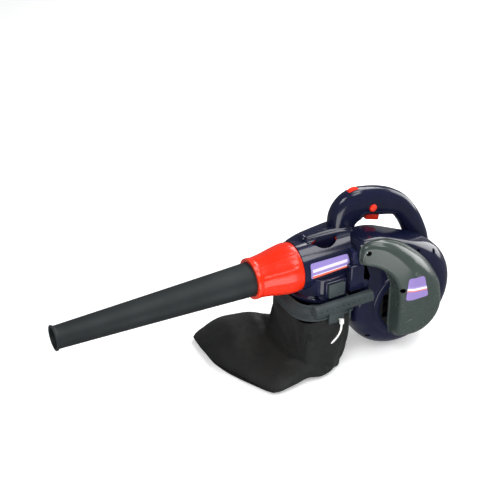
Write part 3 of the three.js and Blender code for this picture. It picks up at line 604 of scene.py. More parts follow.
# ---- outlet pipe with its spine ----
pipe = {"radius": 48, "windowX": -160, "windowLean": 18}
pipeMesh = spun([(45, pipeFrontX + 0.6), (45.6, pipeFrontX), (47.4, pipeFrontX), (48, pipeFrontX + 0.6),
                 (48, -100), (46, -88), (40, -76), (30, -67), (15, -61), (0, -59),
                 (0, -62), (28, -70), (40, -80), (45, -100), (45, pipeFrontX + 0.6)], "X", (0, 0, pipeZ), 128)
pipeShell = toObject("outlet_pipe", pipeMesh)
windowTool = bmesh.new()
windowLine = curveThrough(linePoints((-27, 4), (-11, -12), (8, -14), (24, -5), (28, 6), (20, 13), (2, 14),
                                     (-27, 4)), 6)[:-1]
loft(windowTool, [[Vector((p.x, p.y, z)) for p in windowLine] for z in (20, 70)])
bmesh.ops.rotate(windowTool, verts=windowTool.verts, cent=(0, 0, 0),
                 matrix=Matrix.Rotation(math.radians(pipe["windowLean"]), 3, "X"))
bmesh.ops.translate(windowTool, verts=windowTool.verts, vec=(pipe["windowX"], 0, pipeZ))
adapterWindow = windowTool.copy()
carve(pipeShell, windowTool, rod("Z", 38, 45, pipeZ, (portX, 0, 0), 64),
      rod("Y", 4.2, -40, -7.6, (-97, 0, 153), 24), rod("Y", 3.9, -40, 4.6, (-192, 0, 158.5), 24))


def backToBmesh(piece):
    # a finished object's shape again as a bmesh in millimetres about the shaft
    bm = bmesh.new()
    bm.from_mesh(piece.data)
    bpy.data.objects.remove(piece)
    bmesh.ops.translate(bm, vec=-hub, verts=bm.verts)
    bmesh.ops.scale(bm, vec=(1 / mm,) * 3, verts=bm.verts)
    return bm


pipeNear, pipeFar = halves(backToBmesh(pipeShell))
dress(toObject("outlet_pipe_near", pipeNear), "body", navyAbs)
dress(toObject("outlet_pipe_far", pipeFar), "body", navyAbs)

spineCrest = curveThrough(linePoints((pipeFrontX + 1, 153), (-205, 156.5), (-190, 160.5), (-170, 162.5),
                                     (-150, 164),
                                     (-129, 165), (-112, 164.5), (-98, 161), (-86, 153)), 4)
spineRings = []
for spot in spineCrest:
    width = 15 + 0.11 * (spot.x - pipeFrontX)
    spineRings.append([Vector((spot.x, 15 + width * math.copysign(abs(math.cos(a)) ** 0.7, math.cos(a)),
                               138 + (spot.y - 138) * math.copysign(abs(math.sin(a)) ** 0.7, math.sin(a))))
                       for a in [2 * math.pi * i / 48 for i in range(48)]])
spine = bmesh.new()
loft(spine, spineRings)
spineWells = merge(rod("Y", 4.2, -40, -7.6, (-97, 0, 153), 24), rod("Y", 3.9, -40, 4.6, (-192, 0, 158.5), 24))
for half, name in zip(halves(spine), ("spine_near", "spine_far")):
    side = toObject(name, half)
    if name == "spine_near":
        carve(side, spineWells)
    dress(side, "body", navyAbs)
boss = soften(spun([(3.9, 1), (5.6, 1), (6.6, 14), (3.9, 14), (3.9, 1)], "Y", (-192, 0, 158), 32), 0.8)
dress(toObject("front_screw_boss", boss), "body", navyAbs)
print("outlet pipe done")

# ---- throat, between the pipe and the intake ----
throat = soften(plate(linePoints((-129, 58), (-90, 58), (-82, 82), (-94, 114), (-129, 114)), -62, -22), 3.5)
dress(toObject("throat_fairing", throat), "body", navyAbs)
web = plate(linePoints((-120, 60), (-101, 60), (-87, 66), (-72, 84), (-60, 100), (-60, 140), (-120, 140)),
            -57, -20)
dress(toObject("throat_web", web), "body", navyAbs)

# ---- handle ----
handle = {
    "halfWidth": 18, "power": 2.5, "around": 48, "perSpan": 7,
    "outer": linePoints((96, 46), (95, 72.5), (86, 102), (66, 143), (38, 180.5), (8, 203), (-22, 216.5),
                        (-52, 224), (-82, 227), (-111, 217), (-130, 191), (-134, 154), (-134, 125)),
    "inner": linePoints((54, 46), (47, 76), (39, 98), (26, 125), (9, 148), (-6, 154.5), (-24, 158.5),
                        (-46, 165), (-58, 166), (-66, 160), (-74, 157), (-80, 148), (-80, 125)),
}
outer = curveThrough(handle["outer"], handle["perSpan"])
inner = curveThrough(handle["inner"], handle["perSpan"])
handleRings = []
for top, low in zip(outer, inner):
    ring = []
    for i in range(handle["around"]):
        angle = 2 * math.pi * i / handle["around"]
        across = math.copysign(abs(math.cos(angle)) ** (2 / handle["power"]), math.cos(angle))
        up = math.copysign(abs(math.sin(angle)) ** (2 / handle["power"]), math.sin(angle))
        spot = low.lerp(top, 0.5 + up / 2)
        ring.append(Vector((spot.x, splitY + across * handle["halfWidth"], spot.y)))
    handleRings.append(ring)
bow = bmesh.new()
loft(bow, handleRings)
bowNear, bowFar = halves(bow)
bowNear = toObject("handle_near", bowNear)
bowFar = toObject("handle_far", bowFar)
dialX, dialZ = -82, 211.5
slot = block(-57.5, -23.5, splitY - 8.4, splitY + 8.4, 142, 173)
carve(bowNear, slot.copy(), rod("Y", 8.4, -20, 6, (-48, 0, 186.5), 32))
carve(bowFar, slot)
dress(bowNear, "body", navyAbs)
dress(bowFar, "body", navyAbs)

trigger = soften(plate(linePoints((-56.3, 158), (-27, 149), (-24.6, 167.5), (-56.3, 176)),
                       splitY - 8, splitY + 8), 2)
dress(toObject("trigger_blade", trigger), "trigger", flameAbs, ["trigger"])
button = soften(spun([(0, -6.5), (4, -6.3), (7.2, -5), (7.5, -3), (7.5, 4), (0, 4)], "Y", (-48, 0, 186.5),
                     48), 0.6)
dress(toObject("lock_button_cap", button), "lock_button", flameAbs, ["lock_button"])
dialRings = []
for y, shrink in ((10.2, 1.2), (10.8, 0), (19.2, 0), (19.8, 1.2)):
    dialRings.append([Vector((dialX + (18 - shrink - (0.7 if i % 3 == 0 else 0)) * math.cos(2 * math.pi * i / 108),
                              y, dialZ + (18 - shrink - (0.7 if i % 3 == 0 else 0)) * math.sin(2 * math.pi * i / 108)))
                      for i in range(108)])
dial = bmesh.new()
loft(dial, dialRings)
dress(toObject("speed_dial_wheel", dial), "speed_dial", flameAbs, ["speed_dial"], angle=50)
print("handle done")

# ---- intake cover ----
cover = {
    "nearY": -105, "baseY": -62.3, "endY": -71, "crownX": -14, "dome": 30, "edge": 5,
}


def coverTop(x):
    # the cover slopes down from its crown to its upper end
    share = min(1, max(0, (cover["crownX"] - x) / 92))
    ease = share * share * (3 - 2 * share) * 0.4 + share * 0.6
    return cover["nearY"] + (cover["endY"] - cover["nearY"]) * ease


coverLine = arcPoints(0, 0, 68, -112, 18, 40)
coverLine += curveThrough(linePoints((61, 41), (46, 68), (24, 95), (-2, 120), (-34, 143), (-68, 157),
                                     (-94, 158)), 10)
coverLine += curveThrough(linePoints((-104, 155), (-110, 147), (-110, 123), (-103, 115)), 5)
coverLine += curveThrough(linePoints((-84, 110), (-58, 91), (-44, 66), (-39, 40), (-38, 0), (-38, -50)), 10)
coverLine += curveThrough(linePoints((-37, -58), (-33, -65)), 2)
coverLine = relaxed(evenly(coverLine, 3), 2)
coverWall = linePoints((-110, 122), (-103, 115), (-84, 110), (-58, 91), (-44, 66), (-39, 40), (-38, 0))


def domed(point):
    # 0 on the steep inner wall of the cover, 1 on its domed outer side
    if point.y < 0:
        return fade(point.x, -38, -13)
    gaps = []
    for start, end in zip(coverWall, coverWall[1:]):
        along = end - start
        share = max(0, min(1, (point - start).dot(along) / along.length_squared))
        gaps.append((point - start - along * share).length)
    return fade(min(gaps), 0, 26)


def coverRing(turn):
    # one ring of the cover, from its rim at 0 up to its crown at 1
    angle = turn * math.pi / 2
    bend = max(0, (turn - 0.6) / 0.4) * math.pi / 2
    wallIn, wallUp = 1 - math.cos(bend), 0.88 * min(1, turn / 0.6) + 0.12 * math.sin(bend)
    domeIn, domeUp = 1 - math.cos(angle), math.sin(angle)
    line = []
    for point, inward in zip(coverLine, drawnIn(coverLine, [1] * len(coverLine))):
        weight = domed(point)
        tall = (cover["baseY"] - coverTop(point.x)) / (cover["baseY"] - cover["nearY"])
        dome = cover["dome"] * tall ** 0.8 * domeIn
        edge = cover["edge"] * wallIn
        if point.y < 0:
            shrink = dome / 68
            moved = Vector((point.x * (1 - shrink * weight) + edge * (1 - weight), point.y * (1 - shrink)))
        else:
            moved = point + (inward - point) * (dome * weight + edge * (1 - weight))
        line.append((moved, 0.09 + 0.91 * (domeUp * weight + wallUp * (1 - weight))))
    spots = relaxed([moved for moved, height in line], round(4 * turn))
    return [Vector((p.x, cover["baseY"] + (coverTop(p.x) - cover["baseY"]) * height, p.y))
            for p, (moved, height) in zip(spots, line)]


def rimRing(inset, height):
    return [Vector((p.x, cover["baseY"] + (coverTop(p.x) - cover["baseY"]) * height, p.y))
            for p in drawnIn(coverLine, [inset] * len(coverLine))]


coverMesh = bmesh.new()
coverRings = [rimRing(inset, height) for inset, height in ((-2.2, 0), (-2.2, 0.05), (-0.4, 0.07))]
coverRings += [coverRing(k / 14) for k in range(15)]
lastRing = loft(coverMesh, coverRings, endCap=False)
crown = bmesh.new()
crownLine = [vert.co.copy() for vert in lastRing]
crownRing = bmesh.ops.create_circle(crown, segments=len(crownLine), radius=1)["verts"]
for vert, point in zip(crownRing, crownLine):
    vert.co = point
crown.faces.new(crownRing)
sliceFaces(crown, 4, (0, 2))
for vert in crown.verts:
    if not vert.is_boundary:
        vert.co.y = coverTop(vert.co.x)
coverMesh = merge(coverMesh, crown)
bmesh.ops.remove_doubles(coverMesh, verts=coverMesh.verts, dist=1e-3)
coverShell = toObject("intake_cover_shell", coverMesh)
coverWells = merge(rod("Y", 5, -140, -66.8, (-99, 0, 141), 32), rod("Y", 5, -140, -84, (-35, 0, 54), 32))
carve(coverShell, coverWells)
dress(coverShell, "body", coverAbs, ["intake_cover"], angle=40)

for name, z, phase in (("wave_ridge_1", 18, 0), ("wave_ridge_2", 2, 1.4), ("wave_ridge_3", -13, 2.6)):
    curve = bpy.data.curves.new(name, "CURVE")
    curve.dimensions = "3D"
    curve.bevel_depth = 0.75 * mm
    curve.bevel_resolution = 3
    curve.use_fill_caps = True
    line = curve.splines.new("POLY")
    line.points.add(40)
    for k, point in enumerate(line.points):
        x = -27 + 52 * k / 40
        spot = hub + Vector((x, coverTop(x) - 0.1, z + 2.2 * math.sin(x / 6.5 + phase) + 0.12 * x)) * mm
        point.co = (*spot, 1)
    ridge = bpy.data.objects.new(name, curve)
    bpy.context.scene.collection.objects.link(ridge)
    settled = bpy.data.objects.new(name, bpy.data.meshes.new_from_object(
        ridge.evaluated_get(bpy.context.evaluated_depsgraph_get())))
    bpy.data.objects.remove(ridge)
    settled.name = name
    bpy.context.scene.collection.objects.link(settled)
    dress(settled, "body", coverAbs)
print("intake cover done")


# ---- labels ----
def labelSheet(name, corners, radius, place, thickness=0.5):
    # a thin label with round corners; place turns its flat coordinates into a spot on the surface
    line = []
    for i, corner in enumerate(corners):
        back = (corners[i - 1] - corner).normalized() * radius
        ahead = (corners[(i + 1) % len(corners)] - corner).normalized() * radius
        start, end = corner + back, corner + ahead
        line += [start.lerp(corner, t).lerp(corner.lerp(end, t), t) for t in [k / 5 for k in range(6)]]
    bm = bmesh.new()
    ring = bmesh.ops.create_circle(bm, segments=len(line), radius=1)["verts"]
    for vert, point in zip(ring, line):
        vert.co = (point.x, point.y, 0)
    bm.faces.new(ring)
    sliceFaces(bm, 3, (0, 1))
    low = Vector((min(p.x for p in line), min(p.y for p in line)))
    size = Vector((max(p.x for p in line), max(p.y for p in line))) - low
    layer = bm.loops.layers.uv.new("UVMap")
    for face in bm.faces:
        for loop in face.loops:
            flat = loop.vert.co.xy - low
            loop[layer].uv = (flat.x / size.x, flat.y / size.y)
    for vert in bm.verts:
        vert.co = place(vert.co.x, vert.co.y)
    piece = toObject(name, bm)
    wall = piece.modifiers.new("thickness", "SOLIDIFY")
    wall.thickness = thickness * mm
    wall.offset = 0
    return settle(piece)


def onPipe(x, arc):
    angle = arc / pipe["radius"]
    reach = pipe["radius"] + 0.25
    return Vector((x, -reach * math.cos(angle), pipeZ + reach * math.sin(angle)))


pipeLabel = labelSheet("pipe_label", linePoints((-205, -4), (-123, 0), (-125, 25), (-204, 26)), 5, onPipe)
dress(pipeLabel, "body", pipeVinyl)
coverLabel = labelSheet("cover_badge", linePoints((-29, 31), (19, 31), (6, 80), (-26, 80)), 6,
                        lambda x, z: Vector((x, coverTop(x) - 0.3, z)))
dress(coverLabel, "body", coverVinyl, ["cover_label"])
print("labels done")

# ---- adapter and nozzle ----
adapterLow, adapterHigh = localBox("tube_adapter")
tubeLow, tubeHigh = localBox("nozzle_tube")
frontX, rearX = adapterLow.x, pipeFrontX - 0.3
adapterLine = curveThrough(linePoints((46, rearX - 1), (47, rearX - 9), (46.4, rearX - 21),
                                      (43.8, rearX - 37),
                                      (40.6, rearX - 53), (38.4, rearX - 67), (37.3, rearX - 78)), 5)
adapterProfile = [(41, adapterHigh.x), (44, adapterHigh.x), (44, rearX), (46, rearX)]
adapterProfile += [(p.x, p.y) for p in adapterLine]
adapterProfile += [(38.2, frontX + 9), (38.6, frontX + 5), (38.2, frontX), (32.4, frontX),
                   (32.4, frontX + 20.5),
                   (30, frontX + 21), (30, frontX + 26), (41, frontX + 54), (41, adapterHigh.x)]
adapter = spun(adapterProfile, "X", (0, 0, pipeZ), 120)
# fine ribs along the outside
for vert in adapter.verts:
    spoke = Vector((0, vert.co.y, vert.co.z - pipeZ))
    turn = math.degrees(math.atan2(spoke.y, spoke.z)) % 360
    if frontX + 12 < vert.co.x < rearX - 8 and spoke.length > 36 and round(turn / 3) % 10 == 0:
        vert.co += spoke.normalized() * 0.7
dress(carve(toObject("adapter_shell", adapter), adapterWindow), "adapter", flameAbs,
      ["tube_adapter"], angle=24)

rootRadius, tipRadius, tubeWall = 32, 20.5, 2.2
tipX = tubeLow.x
tubeProfile = [(rootRadius - tubeWall, tubeHigh.x), (rootRadius, tubeHigh.x), (rootRadius, frontX)]
tubeProfile += [(rootRadius + (tipRadius - rootRadius) * (k / 24) ** 0.92,
                 frontX + (tipX + 7 - frontX) * k / 24)
                for k in range(1, 25)]
tubeProfile += [(tipRadius + 0.6, tipX + 4.5), (tipRadius + 2.4, tipX + 2.6), (tipRadius + 2.5, tipX + 0.6),
                (tipRadius + 2, tipX), (tipRadius - 1.6, tipX), (tipRadius - tubeWall, tipX + 0.8),
                (rootRadius - tubeWall, frontX), (rootRadius - tubeWall, tubeHigh.x)]
dress(toObject("nozzle_shell", spun(tubeProfile, "X", (0, 0, pipeZ), 128)), "nozzle", tubePe,
      ["nozzle_tube"], angle=35)
print("adapter and nozzle done")

# ---- leaf port under the pipe ----
portLow = localBox("leaf_port")[0]
plateZ = portLow.z
latchLow, latchHigh = localBox("bag_latch")
portShoe = soften(spun([(38, plateZ), (63, plateZ), (63, plateZ + 8), (58, plateZ + 11), (58, pipeZ - 10),
                        (38, pipeZ - 10),
                        (38, plateZ)], "Z", (portX, 0, 0), 128), 1.2)
portShoe = toObject("leaf_port_shoe", portShoe)
carve(portShoe, rod("X", 48.3, -290, 0, (0, 0, pipeZ), 96),
      block(portX + 30.5, 20, -200, 200, plateZ - 5, 140),
      block(-400, 0, 8, 200, 82, 140),
      block(latchLow.x - 0.6, latchHigh.x + 0.6, -120, latchHigh.y + 2, latchLow.z - 4, latchHigh.z + 2),
      rod("Y", 4.4, -200, -36, (portX - 32, 0, plateZ + 9), 24))
dress(portShoe, "body", navyAbs, ["leaf_port"])
latchHouse = soften(block(latchLow.x - 5, latchHigh.x + 5, latchLow.y + 4, -40, plateZ + 1,
                          latchHigh.z + 4), 2)
latchHouse = toObject("latch_housing", latchHouse)
carve(latchHouse, block(latchLow.x - 0.6, latchHigh.x + 0.6, -120, latchHigh.y + 2, latchLow.z - 4,
                        latchHigh.z + 2),
      rod("X", 48.3, -290, 0, (0, 0, pipeZ), 96))
dress(latchHouse, "body", navyAbs)
latch = soften(block(latchLow.x, latchHigh.x, latchLow.y, latchHigh.y, latchLow.z, latchHigh.z), 1.5)
dress(toObject("latch_button", latch), "bag_latch", collarPp, ["bag_latch"])
for k in range(3):
    grip = soften(block(latchLow.x + 4, latchHigh.x - 4, latchLow.y - 0.8, latchLow.y + 1,
                        latchLow.z + 4 + 4 * k, latchLow.z + 5.4 + 4 * k), 0.5, 2)
    dress(toObject(f"latch_grip_{k + 1}", grip), "bag_latch", collarPp)
print("leaf port done")

# ---- bag collar with its rails ----
collarLow, collarHigh = localBox("bag_collar")
collar = {
    "frontX": portX - 74, "rearX": portX + 42, "halfY": 70, "topZ": plateZ - 0.3, "height": 29, "flare": 8,
    "wall": 3, "frontRound": 48, "rearRound": 14,
}


def collarPlan(inset, z):
    front, rear = collar["frontX"] + inset, collar["rearX"] - inset
    half = collar["halfY"] - inset
    big, small = collar["frontRound"] - inset, max(2, collar["rearRound"] - inset / 2)
    plan = arcPoints(rear - small, half - small, small, 0, 90, 8)
    plan += arcPoints(front + big, half - big, big, 90, 180, 20)
    plan += arcPoints(front + big, -half + big, big, 180, 270, 20)
    plan += arcPoints(rear - small, -half + small, small, 270, 360, 8)
    return [Vector((p.x, p.y, z)) for p in plan]


top, bottom = collar["topZ"], collar["topZ"] - collar["height"]
wall, flare = collar["wall"], collar["flare"]
collarRings = [collarPlan(wall, bottom), collarPlan(0.6, bottom), collarPlan(0, bottom + 0.6),
               collarPlan(0, bottom + 4), collarPlan(0.8, bottom + 4.6), collarPlan(0.8, bottom + 11)]
collarRings += [collarPlan(flare * (t * t * (3 - 2 * t)), bottom + 11 + (top - bottom - 12) * t)
                for t in (0.15, 0.3, 0.45, 0.6, 0.75, 0.9, 1)]
collarRings += [collarPlan(flare + 0.8, top), collarPlan(flare + wall, top), collarPlan(wall, bottom + 10),
                collarPlan(wall, bottom)]
collarMesh = bmesh.new()
loft(collarMesh, collarRings, startCap=False, endCap=False)
bmesh.ops.remove_doubles(collarMesh, verts=collarMesh.verts, dist=1e-3)
dress(toObject("collar_shell", collarMesh), "bag", collarPp, ["bag_collar"])

railX0, railX1, railY, railZ, railRadius = collarLow.x + 24, collarHigh.x, -69, top - 4, 13
dimple = {"count": 10, "radius": 2.1, "lead": 10, "pitch": 11.5, "proud": 0.3, "lift": 3}
for side, name in ((-1, "near"), (1, "far")):
    rings = []
    for x, shrink in ((railX0, 1.2), (railX0 + 1.2, 0), (railX1 - 0.8, 0), (railX1, 0.8)):
        radius = railRadius - shrink
        rings.append([Vector((x, side * (-railY + radius * math.sin(a)), railZ + radius * math.cos(a)))
                      for a in [math.pi * i / 24 for i in range(25)]])
    rail = bmesh.new()
    loft(rail, rings)
    sliceFaces(rail, 3, (0,))
    railPiece = toObject(f"slide_rail_{name}", rail)
    dimples = []
    for k in range(dimple["count"]):
        ball = bmesh.new()
        bmesh.ops.create_uvsphere(ball, u_segments=16, v_segments=8, radius=dimple["radius"])
        reach = side * (-railY + railRadius * 0.97 + dimple["proud"])
        spot = (railX0 + dimple["lead"] + k * dimple["pitch"], reach, railZ + dimple["lift"])
        bmesh.ops.translate(ball, verts=ball.verts, vec=spot)
        dimples.append(ball)
    carve(railPiece, merge(*dimples))
    dress(railPiece, "bag", collarPp, angle=40)
    web = soften(block(railX0, collar["rearX"] - 20, *sorted((side * 42, side * 70)), railZ - 8,
                       railZ - 2), 1)
    dress(toObject(f"rail_web_{name}", web), "bag", collarPp)

lugX0, lugX1, lugY = portX - 19, portX + 13, railY - 6
lug = soften(block(lugX0, lugX1, lugY, lugY + 5, bottom - 10, railZ - 6), 1)
lug = toObject("tie_lug", lug)
carve(lug, block(portX + 1, portX + 5.5, -100, -50, bottom - 6, bottom - 1.5))
dress(lug, "bag", collarPp)
post = soften(spun([(0, bottom - 12), (1.6, bottom - 12), (2, bottom - 10), (2, bottom + 10),
                    (0, bottom + 10)],
                   "Z", (portX + 27, -72, 0), 20), 0.3)
dress(toObject("guide_post", post), "bag", collarPp)
print("collar done")

# ---- cable tie ----
headX, headZ = portX + 3.3, bottom - 3.8
tieHead = soften(block(headX - 3.6, headX + 3.6, lugY - 10, lugY - 4, headZ - 7, headZ + 4), 1.2)
tieLoop = soften(block(headX - 1.8, headX + 1.8, lugY - 5, lugY + 5.5, headZ - 0.7, headZ + 0.7), 0.3)
tieRoute = curveThrough(linePoints((headX, lugY - 7, headZ - 5), (headX - 1, lugY - 8, headZ - 16),
                                   (headX - 5, lugY - 9, headZ - 26), (headX - 12, lugY - 9, headZ - 35),
                                   (headX - 22, lugY - 9, headZ - 43)), 6)
tieRings = []
for k, spot in enumerate(tieRoute):
    ahead = tieRoute[min(k + 1, len(tieRoute) - 1)] - tieRoute[max(k - 1, 0)]
    across = ahead.cross(Vector((0, 1, 0))).normalized()
    width = 1.9 if k < len(tieRoute) - 5 else 1.9 - 0.24 * (k - len(tieRoute) + 5)
    tieRings.append([spot + across * a * width + Vector((0, b, 0)) for a, b in
                     ((-1, -0.5), (-0.6, -0.8), (0.6, -0.8), (1, -0.5), (1, 0.5), (0.6, 0.7), (-0.6, 0.7),
                      (-1, 0.5))])
tieTail = bmesh.new()
loft(tieTail, tieRings)
dress(toObject("zip_tie", merge(tieHead, tieLoop, tieTail)), "bag", tieNylon, ["cable_tie"])
print("tie done")

# ---- collecting bag ----
bag = {
    "around": 112, "power": 5.0, "soften": 2.6, "nearSkew": 58, "farRise": 18, "skin": 0.9,
    # [share of the length, front-top x z, rear-bottom x z, near y, far y]
    "stations": (
        (0.00, -230, 19, -119, 19, -67, 67), (0.10, -231, 2, -118, -6, -70, 68),
        (0.22, -233, -20, -119, -34, -73, 74), (0.34, -236, -40, -128, -66, -77, 86),
        (0.44, -240, -54, -140, -93, -79, 104), (0.52, -246, -63, -154, -112, -80, 122),
        (0.60, -258, -68, -190, -114.5, -83, 138), (0.70, -282, -72, -236, -114.6, -82, 150),
        (0.80, -308, -76, -282, -114.6, -81, 158), (0.90, -336, -84, -324, -114.6, -80, 160),
        (0.96, -354, -93, -348, -114.4, -78, 157), (1.00, -362, -104, -361, -112, -72, 149),
    ),
}


def bagStation(t):
    # the ring's front-top and rear-bottom edge and its two ends, part way along the bag
    rows = bag["stations"]
    upper = next(i for i in range(1, len(rows)) if rows[i][0] >= t or i == len(rows) - 1)
    low, high = rows[upper - 1], rows[upper]
    share = (t - low[0]) / (high[0] - low[0])
    before, after = rows[max(0, upper - 2)], rows[min(len(rows) - 1, upper + 1)]
    mix = []
    for a, b, c, d in zip(before[1:], low[1:], high[1:], after[1:]):
        mix.append(0.5 * (2 * b + (c - a) * share + (2 * a - 5 * b + 4 * c - d) * share ** 2
                          + (3 * b - a - 3 * c + d) * share ** 3))
    return mix


def bagRing(t):
    frontX, frontZ, rearX, rearZ, near, far = bagStation(t)
    ring = []
    for i in range(bag["around"]):
        angle = 2 * math.pi * i / bag["around"]
        power = bag["power"] - bag["soften"] * t
        across = math.copysign(abs(math.cos(angle)) ** (2 / power), math.cos(angle))
        up = math.copysign(abs(math.sin(angle)) ** (2 / power), math.sin(angle))
        y = (near + far) / 2 + across * (far - near) / 2
        lean = 0.5 + up / 2
        x = rearX + (frontX - rearX) * lean
        z = rearZ + (frontZ - rearZ) * lean
        # the near end of the hem lies further back than the far end
        x += bag["nearSkew"] * max(0, t - 0.45) / 0.55 * max(0, (70 - y) / 140) ** 1.4
        # the far side is stuffed fuller than the near side
        z += bag["farRise"] * lean * fade(y, 10, 110) * fade(t, 0.35, 0.6) * (1 - fade(t, 0.75, 1))
        ring.append(Vector((x, y, max(z, floorZ + 0.9))))
    return ring


bagRows = 84
bagMesh = bmesh.new()
lastRing = loft(bagMesh, [bagRing(k / bagRows) for k in range(bagRows + 1)], startCap=False, endCap=True)
uvLayer = bagMesh.loops.layers.uv.new("UVMap")
bagMesh.verts.index_update()
aroundLength, alongLength = 520 * mm, 420 * mm
for face in bagMesh.faces:
    columns = [loop.vert.index % bag["around"] for loop in face.loops]
    wraps = max(columns) - min(columns) > bag["around"] / 2
    for loop, column in zip(face.loops, columns):
        turn = column + (bag["around"] if wraps and column < bag["around"] / 2 else 0)
        loop[uvLayer].uv = (turn / bag["around"] * aroundLength,
                            loop.vert.index // bag["around"] / bagRows * alongLength)
bagPiece = toObject("leaf_bag", bagMesh)


def dropCloth(piece):
    # lets the bag sag under its own weight, held by its mouth, on a floor that is then taken away
    hold = piece.vertex_groups.new(name="hold")
    for vert in piece.data.vertices:
        t = (vert.index // bag["around"]) / bagRows
        hold.add([vert.index], 1.0 if t < 0.05 else 0.0, "REPLACE")
    ground = toObject("ground", block(-700, 300, -300, 400, floorZ - 20, floorZ + 0.2))
    ground.modifiers.new("collision", "COLLISION")
    ground.collision.thickness_outer = 0.6 * mm
    cloth = piece.modifiers.new("cloth", "CLOTH")
    settings = cloth.settings
    settings.quality = 6
    settings.mass = 0.25
    settings.tension_stiffness = 30
    settings.compression_stiffness = 12
    settings.shear_stiffness = 8
    settings.bending_stiffness = 0.6
    settings.vertex_group_mass = "hold"
    settings.use_pressure = True
    settings.uniform_pressure_force = 0.8
    cloth.collision_settings.distance_min = 0.8 * mm
    cloth.collision_settings.use_self_collision = False
    scene = bpy.context.scene
    for step in range(1, 17):
        scene.frame_set(step)
    before = [vert.co.copy() for vert in piece.data.vertices]
    settle(piece)
    bpy.data.objects.remove(ground)
    scene.frame_set(1)
    cap = 8 * mm
    for vert, start in zip(piece.data.vertices, before):
        move = vert.co - start
        if move.length > cap:
            vert.co = start + move.normalized() * cap


dropCloth(bagPiece)

# creases pressed in after the drop: [start, end, width, depth], about the shaft
creases = (
    ((-233, 85, -62), (-234, 29, -68), 9, 4), ((-234, 29, -68), (-227, -30, -76), 9, 6),
    ((-227, -30, -76), (-203, -52, -76), 9, 7), ((-203, -52, -76), (-183, -71, -88), 9, 7),
    ((-250, -74, -24), (-218, -74, 6), 8, 5),
    ((-218, -74, 6), (-171, -74, 1), 8, 4), ((-357, 56, -100), (-322, -24, -104), 4, 2),
)


def nearLine(point, start, end):
    along = end - start
    share = max(0, min(1, (point - start).dot(along) / along.length_squared))
    return (point - start - along * share).length


bagMesh = bmesh.new()
bagMesh.from_mesh(bagPiece.data)
bagMesh.normal_update()
shifts = []
for vert in bagMesh.verts:
    spot = (vert.co - hub) / mm
    depth = 0
    for start, end, width, sink in creases:
        gap = nearLine(spot, Vector(start), Vector(end)) / width
        depth += sink * (math.exp(-gap * gap) - 0.35 * math.exp(-(gap - 1.9) ** 2))
    fade = min(1, max(0, (15 - spot.z) / 12))
    ripple = noise.noise(Vector((spot.x / 38, spot.y / 46, spot.z / 38))) * 2.6
    ripple += noise.noise(Vector((spot.x / 15, spot.y / 21, spot.z / 15))) * 0.8
    shifts.append(vert.normal * (ripple - depth) * fade * mm)
for vert, shift in zip(bagMesh.verts, shifts):
    vert.co += shift
    vert.co.z = max(vert.co.z, 0.6 * mm)
bmesh.ops.smooth_vert(bagMesh, verts=bagMesh.verts, factor=0.5, use_axis_x=True, use_axis_y=True,
                      use_axis_z=True)
bagMesh.to_mesh(bagPiece.data)
bagMesh.free()
thick = bagPiece.modifiers.new("thickness", "SOLIDIFY")
thick.thickness = bag["skin"] * mm
thick.offset = -1
fine = bagPiece.modifiers.new("fine", "SUBSURF")
fine.levels = 1
fine.render_levels = 1
settle(bagPiece)
dress(bagPiece, "bag", bagCloth, ["collection_bag"], angle=180)
print("bag done")

# ---- motor cover and cord gland ----
motorHigh = localBox("motor_cover")[1]
motorCover = soften(spun([(54, 42.3), (65, 42.3), (65, 45.3), (57, 46), (57, motorHigh.y - 16),
                          (50, motorHigh.y - 3),
                          (42, motorHigh.y), (0, motorHigh.y), (0, motorHigh.y - 3), (41, motorHigh.y - 3),
                          (47, motorHigh.y - 5), (54, motorHigh.y - 17), (54, 42.3)],
                         "Y", steps=128), 1.5, angle=20)
motorCover = toObject("motor_cover_shell", motorCover)
vents = []
for k in range(20):
    slotTool = soften(block(16 if k % 2 else 22, 46, motorHigh.y - 12, motorHigh.y + 8, -1.7, 1.7), 1)
    bmesh.ops.rotate(slotTool, verts=slotTool.verts, cent=(0, 0, 0),
                     matrix=Matrix.Rotation(2 * math.pi * k / 20, 3, "Y"))
    vents.append(slotTool)
carve(motorCover, merge(*vents))
dress(motorCover, "body", navyAbs, ["motor_cover"])

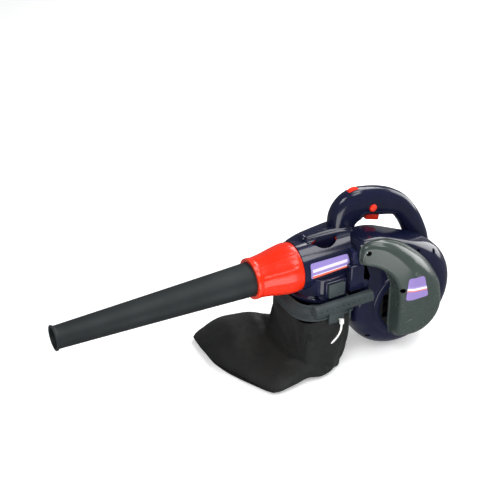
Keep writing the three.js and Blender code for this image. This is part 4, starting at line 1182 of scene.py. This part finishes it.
glandLow, glandHigh = localBox("cord_gland")
glandZ = (glandLow.z + glandHigh.z) / 2
glandX = glandLow.x + 12
glandLine = [(0, glandX - 12), (9, glandX - 12), (9, glandX - 9), (6, glandX - 9), (6, glandX + 13)]
for k in range(9):
    x = glandX + 15 + k * 4.3
    radius = 6.2 - 0.22 * k
    glandLine += [(radius, x), (radius, x + 2.3), (radius - 1.5, x + 2.6), (radius - 1.5, x + 4)]
glandLine += [(4.2, glandHigh.x), (3.5, glandHigh.x), (3.5, glandX + 20), (0, glandX + 20)]
dress(toObject("gland_sleeve", soften(spun(glandLine, "X", (0, 15, glandZ), 32), 0.3, 2)), "body",
      blackRubber,
      ["cord_gland"])
print("rear pieces done")

# ---- finishes of the frame's own pieces ----
plain = {
    "latch_pin": zincSteel, "intake_grille": blackNylon, "fan_impeller": blackNylon, "fan_nut": zincSteel,
    "motor_shaft": zincSteel, "motor_plate": blackNylon, "bearing_near": zincSteel, "bearing_far": zincSteel,
    "motor_stator": coreSteel, "motor_armature": coreSteel, "commutator": stampedBrass,
    "brush_front": brushCarbon, "brush_rear": brushCarbon, "brush_holder_front": stampedBrass,
    "brush_holder_rear": stampedBrass, "trigger_spring": zincSteel, "switch_body": blackNylon,
    "dial_control": blackNylon, "suppressor_capacitor": amberResin, "outlet_seal": blackRubber,
}
for node, piece in frame["nodes"].items():
    if "screw" in node:
        plain[node] = zincSteel
    if node in plain:
        piece.data.materials.clear()
        piece.data.materials.append(plain[node])

# ---- floor ----
floorMesh = bmesh.new()
bmesh.ops.create_grid(floorMesh, x_segments=1, y_segments=1, size=studio["floorSize"] / 2)
floorData = bpy.data.meshes.new("studio_floor")
floorMesh.to_mesh(floorData)
floorMesh.free()
floor = bpy.data.objects.new("studio_floor", floorData)
bpy.context.scene.collection.objects.link(floor)
floorPaint, floorTree, floorShader = startMaterial("pale_matte_floor",
                                                   {"Roughness": 0.9, "Specular IOR Level": 0.1})
floorTone = noiseRamp(floorTree, addNode(floorTree, "ShaderNodeTexCoord", {}).outputs["Object"], 2, 0, 1)
floorMix = addNode(floorTree, "ShaderNodeMix", {"data_type": "RGBA", 6: hexColour("#fafafa"),
                                                7: hexColour("#f7f7f8")}, [(0, floorTone.outputs[0])])
floorTree.links.new(floorMix.outputs[2], floorShader.inputs["Base Color"])
floorShader.inputs["Emission Color"].default_value = hexColour("#ffffff")
floorShader.inputs["Emission Strength"].default_value = 0.35
floor.data.materials.append(floorPaint)
floor.visible_glossy = False
print("floor done")
